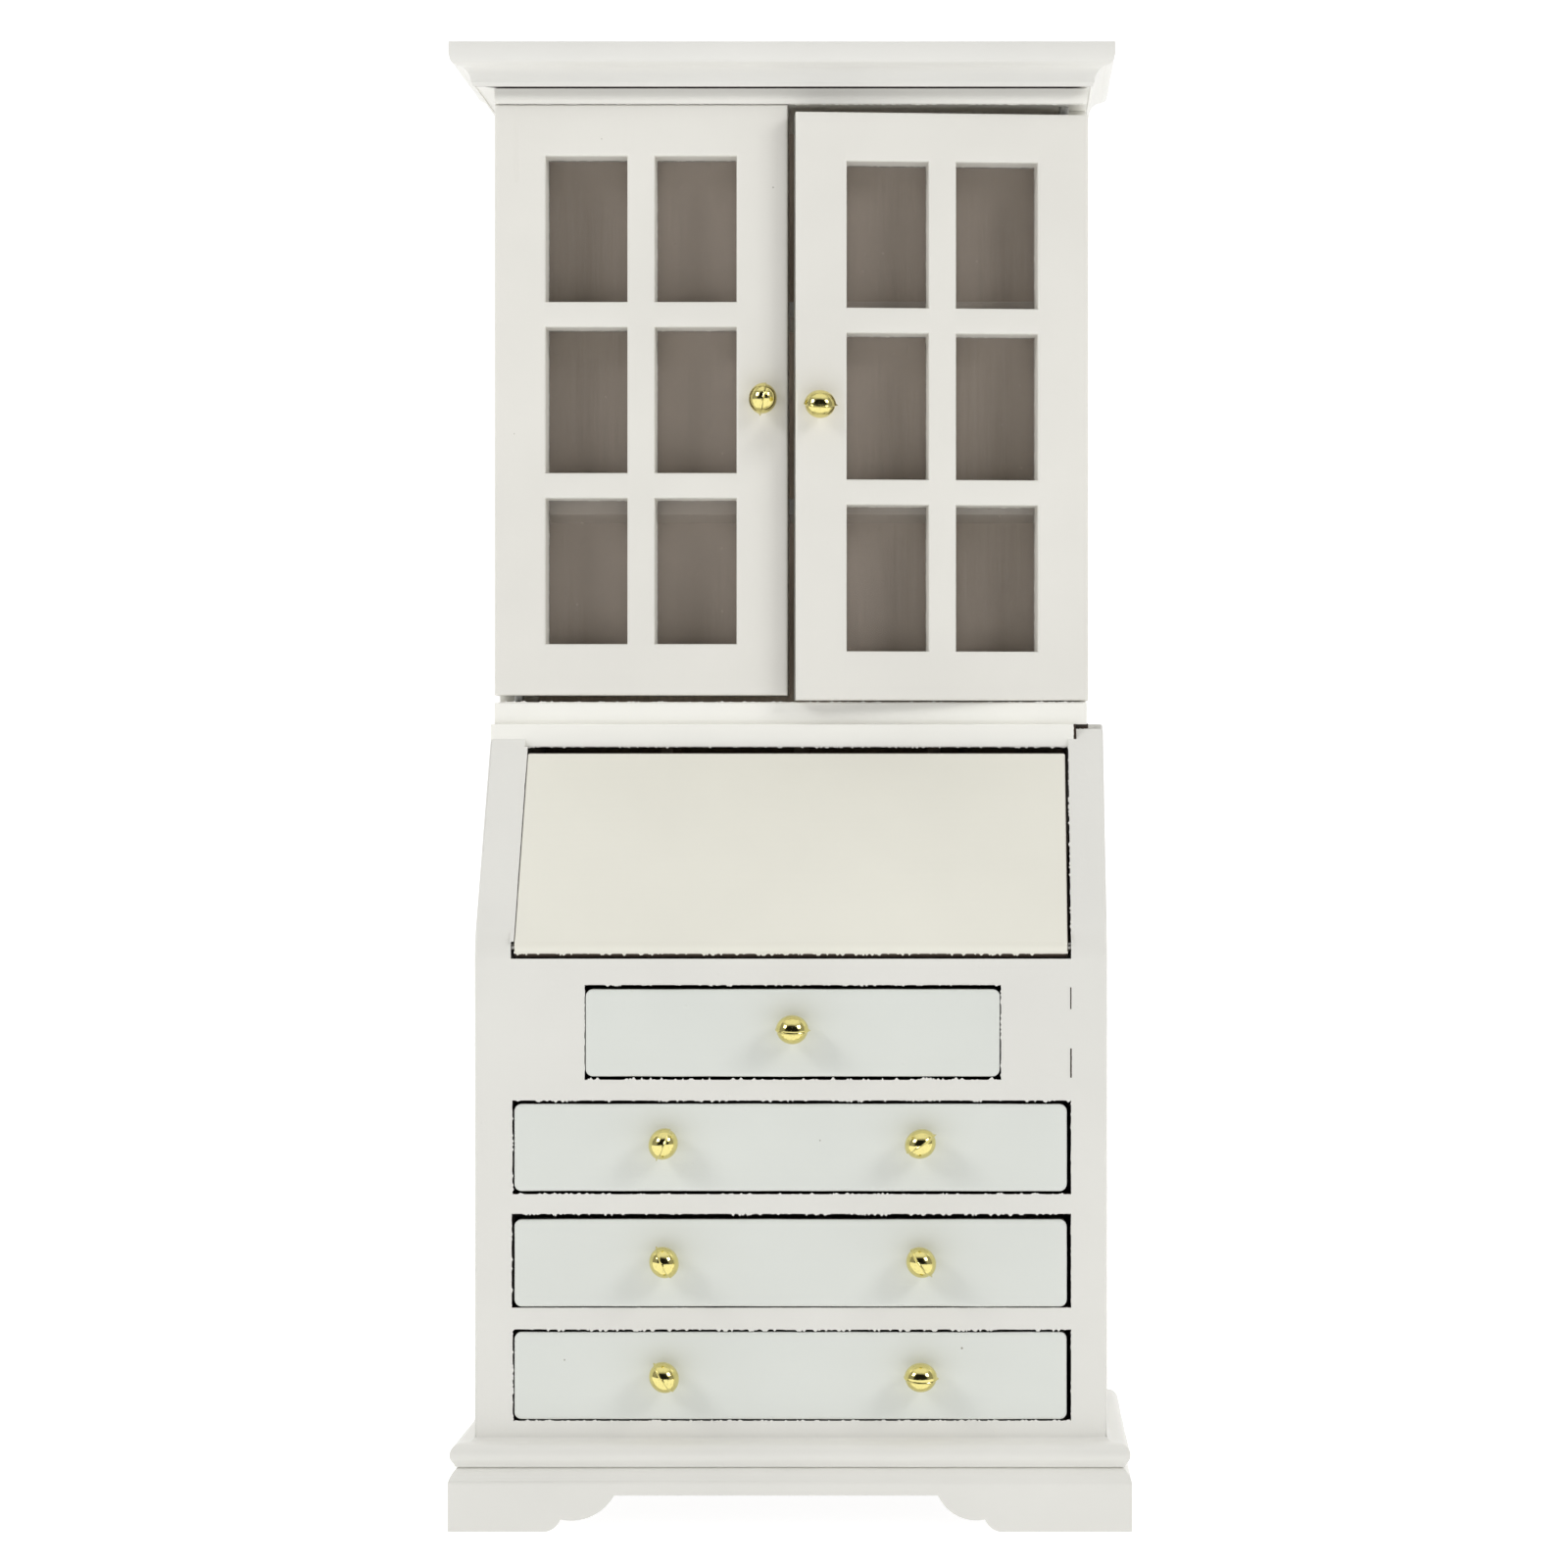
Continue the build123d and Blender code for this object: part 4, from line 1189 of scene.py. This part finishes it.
def moulded_ball(centre, radius, knob, seam, generator):
    """A ball moulded in two halves, as a surface of (latitude from the seam, longitude).

    The radius grows by the swelling, shrinks by the flattening times the sine of the latitude to the power
    1.5, rises in a bell curve at the seam, by more or less round it, and steps down below it. One end of
    the seam carries a nib. Rows of points are crowded at the seam.
    """
    slope, lean, nib_end = seam
    rows, columns, crowding = 69, 80, 1.7
    nib_height, nib_length, nib_width = 0.16 * MM, 0.09, 1.6
    s = np.linspace(-1, 1, rows + 2)[1:-1, None]
    latitude = np.sign(s) * np.abs(s) ** crowding * math.pi / 2
    longitude = np.linspace(0, 2 * math.pi, columns, endpoint=False)[None]
    from_seam = latitude * radius / knob.seam_width
    flash = 1 + 0.5 * np.sin(5 * longitude + generator.uniform(0, 6)) * np.sin(2 * longitude)
    nib_place = 0.0 if nib_end > 0 else math.pi
    turn = np.angle(np.exp(1j * (longitude - nib_place)))
    nib = nib_height * np.exp(-(turn / nib_length) ** 2 - (from_seam / nib_width) ** 2)
    r = radius * (1 + knob.swelling - knob.flattening * np.abs(np.sin(latitude)) ** 1.5)
    r = r + knob.seam_height * flash * np.exp(-from_seam ** 2) + nib
    r = r - knob.seam_step / (1 + np.exp(4 * from_seam))
    poles = radius * (1 + knob.swelling - knob.flattening) - np.array([0.0, knob.seam_step])
    along = np.concatenate([(r * np.cos(latitude) * np.cos(longitude)).ravel(), [0, 0]])
    deep = np.concatenate([(r * np.cos(latitude) * np.sin(longitude)).ravel(), [0, 0]])
    over = np.concatenate([(r * np.sin(latitude)).ravel(), [-poles[1], poles[0]]])
    a, b = math.radians(slope), math.radians(lean)
    deep, over = deep * math.cos(b) - over * math.sin(b), over * math.cos(b) + deep * math.sin(b)
    points = centre + np.stack([
        along * math.cos(a) - over * math.sin(a), deep, along * math.sin(a) + over * math.cos(a),
    ], axis=1)
    faces = grid_faces(rows, columns, closed=True)
    first = np.arange(columns)
    after = (first + 1) % columns
    last = (rows - 1) * columns
    south, north = rows * columns, rows * columns + 1
    faces += [(int(j), int(i), south) for i, j in zip(first, after)]
    faces += [(int(i) + last, int(j) + last, north) for i, j in zip(first, after)]
    return points, outward(points, faces)


def turned_neck(centre, reach, radius, back):
    """The knob's neck: a round bar, a little waisted, from inside the ball back into the wood.

    Its radius is the given one times 0.85 plus 0.15 times the square of the share of the way from its
    middle to its end.
    """
    rings, sides = 9, 40
    share = np.linspace(-1, 1, rings)[:, None]
    turn = np.linspace(0, 2 * math.pi, sides, endpoint=False)[None]
    r = radius * (0.85 + 0.15 * share ** 2) + 0 * turn
    start = centre[1] + reach
    y = start + (back - start) * (share + 1) / 2 + 0 * turn
    points = np.stack([centre[0] + r * np.cos(turn), y, centre[2] + r * np.sin(turn)], axis=-1)
    points = points.reshape(-1, 3)
    return points, outward(points, bar_faces(rings, sides))


def knob_centres(node):
    """Ball centres of a node's knobs and the ball radius: the node's front end, one ball radius in."""
    low, high = corners(node)
    radius = (high[2] - low[2]) / 2
    middle = (low[2] + high[2]) / 2
    if high[0] - low[0] < 3 * radius:
        return [np.array([(low[0] + high[0]) / 2, low[1] + radius, middle])], radius
    ends = (low[0] + radius, high[0] - radius)
    return [np.array([x, low[1] + radius, middle]) for x in ends], radius


class DESK_OT_knobs(bpy.types.Operator):
    """Build the moulded ball knobs, each with its mould seam at its own angle"""

    bl_idname = "desk.knobs"
    bl_label = "Knobs"

    def execute(self, context):
        knob = context.scene.desk_knobs
        generator = np.random.default_rng(15)
        neck_depth = 1.2 * MM
        gold = shared_material("gold_plated_moulding", gold_plating, tuple(knob.gold_colour))
        for node, seams in KNOB_SEAMS.items():
            centres, radius = knob_centres(node)
            # Set back, so that the swollen ball and its seam stay behind the frame's own front.
            set_back = np.array([0, radius * knob.swelling + knob.seam_height, 0])
            parts = []
            for centre, seam in zip(centres, seams):
                parts.append(moulded_ball(centre + set_back, radius, knob, seam, generator))
                parts.append(turned_neck(centre, radius / 2, radius / 2, centre[1] + radius + neck_depth))
            points, faces = joined(parts)
            add_piece(f"{node}_gilt", points, faces, gold, body_of(node), node)
        return {"FINISHED"}


# ---- Torn paint at the gaps ----
# For each drawer's opening: how much of the gap the paint closes and how far its teeth reach across what
# is left, both as shares of the gap.
TORN_EDGES = {
    1: {"top": (0.0, 0.45), "bottom": (0.25, 0.75), "left": (0.7, 0.6), "right": (0.35, 0.8)},
    2: {"top": (0.0, 0.7), "bottom": (0.02, 0.6), "left": (0.5, 0.6), "right": (0.0, 0.25)},
    3: {"top": (0.0, 0.5), "bottom": (0.0, 0.5), "left": (0.3, 0.4), "right": (0.0, 0.25)},
    4: {"top": (0.5, 1.0), "bottom": (0.2, 1.2), "left": (0.6, 0.5), "right": (0.0, 0.25)},
}


class DESK_OT_torn_paint(bpy.types.Operator):
    """Build the torn skin of paint that stands into the gaps round the drawers, the lid and the doors"""

    bl_idname = "desk.torn_paint"
    bl_label = "Torn paint"

    def execute(self, context):
        generator = np.random.default_rng(16)
        y = DESK_FRONT
        skins = []
        for number in DRAWERS:
            low, high = corners(f"drawer_{number}_front")
            left, right, floor, ceiling = self.opening(number)
            box_floor = corners(f"drawer_{number}_sides")[0][2]
            sides = {
                "top": ((left, y, ceiling), (right, y, ceiling), (0, 0, -1), ceiling - high[2]),
                "bottom": ((left, y, floor), (right, y, floor), (0, 0, 1), min(low[2], box_floor) - floor),
                "left": ((left, y, floor), (left, y, ceiling), (1, 0, 0), low[0] - left),
                "right": ((right, y, floor), (right, y, ceiling), (-1, 0, 0), right - high[0]),
            }
            for name, (start, end, reach, gap) in sides.items():
                closing, teeth = TORN_EDGES[number][name]
                skins.append(ragged_skin(start, end, reach, gap, closing, teeth, generator))
        pieces = (
            ("torn_paint_desk", "case", skins + self.lid_skins(generator), 0.0),
            # The dark slivers: hairline splits over joints, and painted shade in one slot.
            ("paint_cracks", "case", self.cracks(generator), 1.0),
            ("torn_paint_cabinet", "door", self.door_skins(generator), 0.0),
        )
        for name, place, parts, share in pieces:
            points, faces = joined(parts)
            bare = np.full(len(points), share)
            piece = add_piece(name, points, faces, paint_for(place, "X"), CASE, bare=bare)
        return {"FINISHED"}

    def opening(self, number):
        """Left, right, floor and ceiling of a drawer's opening."""
        if number == 1:
            x = node_points("filler_blocks")[:, 0]
            left, right = x[x < DESK_MIDDLE].max(), x[x > DESK_MIDDLE].min()
            return left, right, corners("drawer_rail_1")[1][2], corners("writing_board")[0][2]
        below = "desk_bottom_board" if number == DRAWERS[-1] else f"drawer_rail_{number}"
        return INSIDE_LEFT, INSIDE_RIGHT, corners(below)[1][2], corners(f"drawer_rail_{number - 1}")[0][2]

    def lid_skins(self, generator):
        """Torn paint above the lid and along the slanted edges beside it."""
        top_low = corners("desk_top_board")[0]
        foot = slant_foot()
        along = np.array([0, math.cos(SLANT), math.sin(SLANT)])
        inward = np.array([0, math.sin(SLANT), -math.cos(SLANT)])
        reach = (top_low[2] - foot) / along[2]
        skins = [
            ragged_skin(
                (INSIDE_LEFT, top_low[1], top_low[2]), (INSIDE_RIGHT, top_low[1], top_low[2]), (0, 0, -1),
                0.4 * MM, 0.05, 0.5, generator,
            ),
        ]
        gap = corners("lid_panel")[0][0] - INSIDE_LEFT
        for x, hand, closing in ((INSIDE_LEFT, 1, 0.9), (INSIDE_RIGHT, -1, 0.0)):
            start = np.array([x, DESK_FRONT, foot])
            skins.append(ragged_skin(
                start, start + along * reach, (hand, 0, 0), gap, closing, 0.45, generator, inward,
            ))
        return skins

    def cracks(self, generator):
        """Hairline splits in the paint over the joints at the right of the desk's front, and painted shade in a
        slot.

        Two splits stand beside the filler block, given by how far they start and end below the writing board and
        how wide they are. One is at the desk top's end. The last is a dark sliver laid in the slot along the
        side's
        upper end: painted shade in that slot.
        """
        board = corners("writing_board")[0][2]
        top_low, top_high = corners("desk_top_board")
        end = top_high[0]
        wide, faint = (11.1 * MM, 7.6 * MM, 0.09 * MM), (2.9 * MM, 0.3 * MM, 0.04 * MM)
        cracks = []
        for fall_start, fall_end, width in (wide, faint):
            low = (INSIDE_RIGHT, DESK_FRONT, board - fall_start)
            high = (INSIDE_RIGHT, DESK_FRONT, board - fall_end)
            cracks.append(ragged_skin(low, high, (1, 0, 0), width, 0.7, 0.3, generator))
        low = (end, top_low[1], top_low[2])
        high = (end, top_low[1], top_high[2])
        cracks.append(ragged_skin(low, high, (-1, 0, 0), 0.2 * MM, 0.7, 0.3, generator))
        # Painted shade: a dark sliver laid in the slot along the side's upper end.
        side = node_points("desk_side_right")
        ledge = side[side[:, 2] > top_high[2] - 0.05 * MM][:, 1].min() - SAME_PLACE
        upper = top_high[2] - 0.04 * MM
        near = (end + 0.05 * MM, ledge, upper)
        far = (end + 1.7 * MM, ledge, upper)
        cracks.append(ragged_skin(near, far, (0, 0, -1), 0.55 * MM, 0.85, 0.15, generator))
        return cracks

    def door_skins(self, generator):
        """Torn paint on the cabinet's top and bottom boards where the doors shut against them.

        Each edge is given by its ends, its height, its way up or down, its gap, closing and teeth.
        """
        floor = CABINET_HIGH[2]
        ceiling = corners("cabinet_top_board")[0][2]
        left, right = CABINET_LOW[0] + 0.5 * MM, CABINET_HIGH[0] - 0.5 * MM
        edges = (
            (left, CABINET_MIDDLE, floor, 1, 0.5 * MM, 0.1, 0.4),
            (CABINET_MIDDLE, right, floor, 1, 0.2 * MM, 0.2, 0.9),
            (left, CABINET_MIDDLE, ceiling, -1, 0.1 * MM, 0.3, 0.9),
            (CABINET_MIDDLE, right, ceiling, -1, 0.3 * MM, 0.1, 0.4),
        )
        skins = []
        for start, end, height, way, gap, closing, teeth in edges:
            low, high = (start, CABINET_FRONT, height), (end, CABINET_FRONT, height)
            skins.append(ragged_skin(low, high, (0, 0, way), gap, closing, teeth, generator))
        return skins


# ---- Stage ----
class DESK_OT_stage(bpy.types.Operator):
    """Set up the pale sweep, the soft boxes, the light all round and the camera"""

    bl_idname = "desk.stage"
    bl_label = "Stage"

    def execute(self, context):
        stage = context.scene.desk_stage
        self.add_sweep(stage)
        self.add_lights(stage)
        self.add_camera(stage)
        context.scene.view_settings.view_transform = "Standard"
        return {"FINISHED"}

    def add_sweep(self, stage):
        """A floor that rises behind the desk in a quarter circle to an upright wall."""
        width, front, back, bend, top = 3.0, -1.6, 0.9, 0.5, 2.6
        t = np.linspace(0, math.pi / 2, 24)
        curve = np.stack([back + bend * np.sin(t), bend * (1 - np.cos(t))], axis=1)
        profile = np.concatenate([[(front, 0)], curve, [(back + bend, top)]])
        sides = np.array([-width, width])
        x = np.broadcast_to(sides[None], (len(profile), 2))
        yz = np.broadcast_to(profile[:, None], (len(profile), 2, 2))
        points = np.concatenate([x[..., None], yz], axis=-1).reshape(-1, 3)
        mesh = bpy.data.meshes.new("pale_sweep")
        mesh.from_pydata(points.tolist(), [], grid_faces(len(profile), 2))
        mesh.shade_smooth()
        sweep = bpy.data.objects.new("pale_sweep", mesh)
        bpy.context.scene.collection.objects.link(sweep)
        material, output = new_material("white_paper_sweep")
        place = add_node(material, "ShaderNodeTexCoord").outputs["Object"]
        fibre = add_node(material, "ShaderNodeTexNoise", {
            "Vector": place, "Scale": per_metre(3), "Detail": 3.0,
        })
        bump = add_node(material, "ShaderNodeBump", {
            "Height": fibre.outputs["Fac"], "Distance": 0.05 * MM, "Strength": 0.2,
        })
        add_surface(material, output, {
            "Base Color": linear_colour("#959594"), "Roughness": 0.9, "Normal": bump.outputs["Normal"],
            "Emission Color": (1.0, 1.0, 1.0, 1.0), "Emission Strength": stage.floor_glow,
        })
        mesh.materials.append(material)

    def add_lights(self, stage):
        """Two soft boxes in front, left and right, in a bright tent that is dark behind the camera.

        The tent is dark where a direction's -y is large and its z is above the horizon, and brighter
        overhead, where its z is large.
        """
        scene = bpy.context.scene
        aim_height, distance, box_size, darkest = 0.11, 0.75, 0.24, 0.03
        middle = np.array([DESK_MIDDLE, DESK_FRONT, aim_height])
        level = math.cos(stage.soft_box_rise)
        for hand in (-1, 1):
            light = bpy.data.lights.new(f"soft_box_{'left' if hand < 0 else 'right'}", "AREA")
            light.shape = "SQUARE"
            light.size = box_size
            light.energy = stage.soft_box_power
            direction = np.array([
                hand * math.sin(stage.soft_box_side) * level, -math.cos(stage.soft_box_side) * level,
                math.sin(stage.soft_box_rise),
            ])
            holder = bpy.data.objects.new(light.name, light)
            scene.collection.objects.link(holder)
            holder.location = middle + direction * distance
            holder.rotation_euler = Vector(-direction).to_track_quat("-Z", "Y").to_euler()
        world = bpy.data.worlds.new("light_tent")
        world.use_nodes = True
        world.node_tree.nodes.clear()
        direction = add_node(world, "ShaderNodeTexCoord").outputs["Generated"]
        axes = add_node(world, "ShaderNodeSeparateXYZ", {"Vector": direction})
        aside = add_node(world, "ShaderNodeMapRange", {
            "Value": axes.outputs["Y"], "From Min": -0.74, "From Max": -0.5,
        }, interpolation_type="SMOOTHSTEP")
        below = add_node(world, "ShaderNodeMapRange", {
            "Value": axes.outputs["Z"], "From Min": 0.05, "From Max": -0.1,
        }, interpolation_type="SMOOTHSTEP")
        lit = add_node(world, "ShaderNodeMath", {
            0: aside.outputs["Result"], 1: below.outputs["Result"],
        }, operation="MAXIMUM")
        tent = add_node(world, "ShaderNodeMapRange", {
            "Value": lit.outputs[0], "To Min": stage.surround * darkest, "To Max": stage.surround,
        })
        above = add_node(world, "ShaderNodeMapRange", {
            "Value": axes.outputs["Z"], "From Min": 0.6, "From Max": 0.9,
            "To Min": 0.0, "To Max": stage.overhead - stage.surround,
        }, interpolation_type="SMOOTHSTEP")
        strength = add_node(world, "ShaderNodeMath", {
            0: tent.outputs["Result"], 1: above.outputs["Result"],
        }, operation="ADD")
        background = add_node(world, "ShaderNodeBackground", {"Strength": strength.outputs[0]})
        add_node(world, "ShaderNodeOutputWorld", {"Surface": background.outputs[0]})
        scene.world = world

    def add_camera(self, stage):
        """A long lens in front of the desk, right of its middle, level and looking straight back."""
        scene = bpy.context.scene
        data = bpy.data.cameras.new("camera")
        data.lens = stage.lens
        data.sensor_width = 36.0
        data.shift_x = stage.shift_across
        data.clip_start = 0.01
        camera = bpy.data.objects.new("camera", data)
        camera.location = (
            DESK_MIDDLE + stage.camera_aside, DESK_FRONT - stage.distance, stage.camera_height,
        )
        camera.rotation_euler = (math.pi / 2, 0, 0)
        scene.collection.objects.link(camera)
        scene.camera = camera


# ---- Panel and registration ----
OPERATORS = (
    DESK_OT_cornice, DESK_OT_cabinet, DESK_OT_doors, DESK_OT_desk_case, DESK_OT_lid, DESK_OT_drawers,
    DESK_OT_knobs, DESK_OT_base, DESK_OT_torn_paint, DESK_OT_stage,
)
SETTINGS = {
    "desk_paint": PaintSettings, "desk_knobs": KnobSettings, "desk_interior": InteriorSettings,
    "desk_stage": StageSettings,
}


class DESK_PT_panel(bpy.types.Panel):
    """Every piece of the desk, and the sizes and colours that can be changed"""

    bl_idname = "DESK_PT_panel"
    bl_label = "Secretary desk"
    bl_space_type = "VIEW_3D"
    bl_region_type = "UI"
    bl_category = "Desk"

    def draw(self, context):
        for name, group in SETTINGS.items():
            box = self.layout.box()
            settings = getattr(context.scene, name)
            for prop in group.__annotations__:
                box.prop(settings, prop)
        for operator in OPERATORS:
            self.layout.operator(operator.bl_idname)


def register():
    """Add the settings, the operators and the panel."""
    for group in SETTINGS.values():
        bpy.utils.register_class(group)
    for name, group in SETTINGS.items():
        setattr(bpy.types.Scene, name, bpy.props.PointerProperty(type=group))
    for operator in OPERATORS:
        bpy.utils.register_class(operator)
    bpy.utils.register_class(DESK_PT_panel)


def unregister():
    """Take them away again, in the opposite order."""
    bpy.utils.unregister_class(DESK_PT_panel)
    for operator in reversed(OPERATORS):
        bpy.utils.unregister_class(operator)
    for name in SETTINGS:
        delattr(bpy.types.Scene, name)
    for group in reversed(SETTINGS.values()):
        bpy.utils.unregister_class(group)


def main():
    """Register the add-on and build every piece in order."""
    register()
    for operator in OPERATORS:
        group, name = operator.bl_idname.split(".")
        getattr(getattr(bpy.ops, group), name)()


if __name__ == "__main__":
    main()
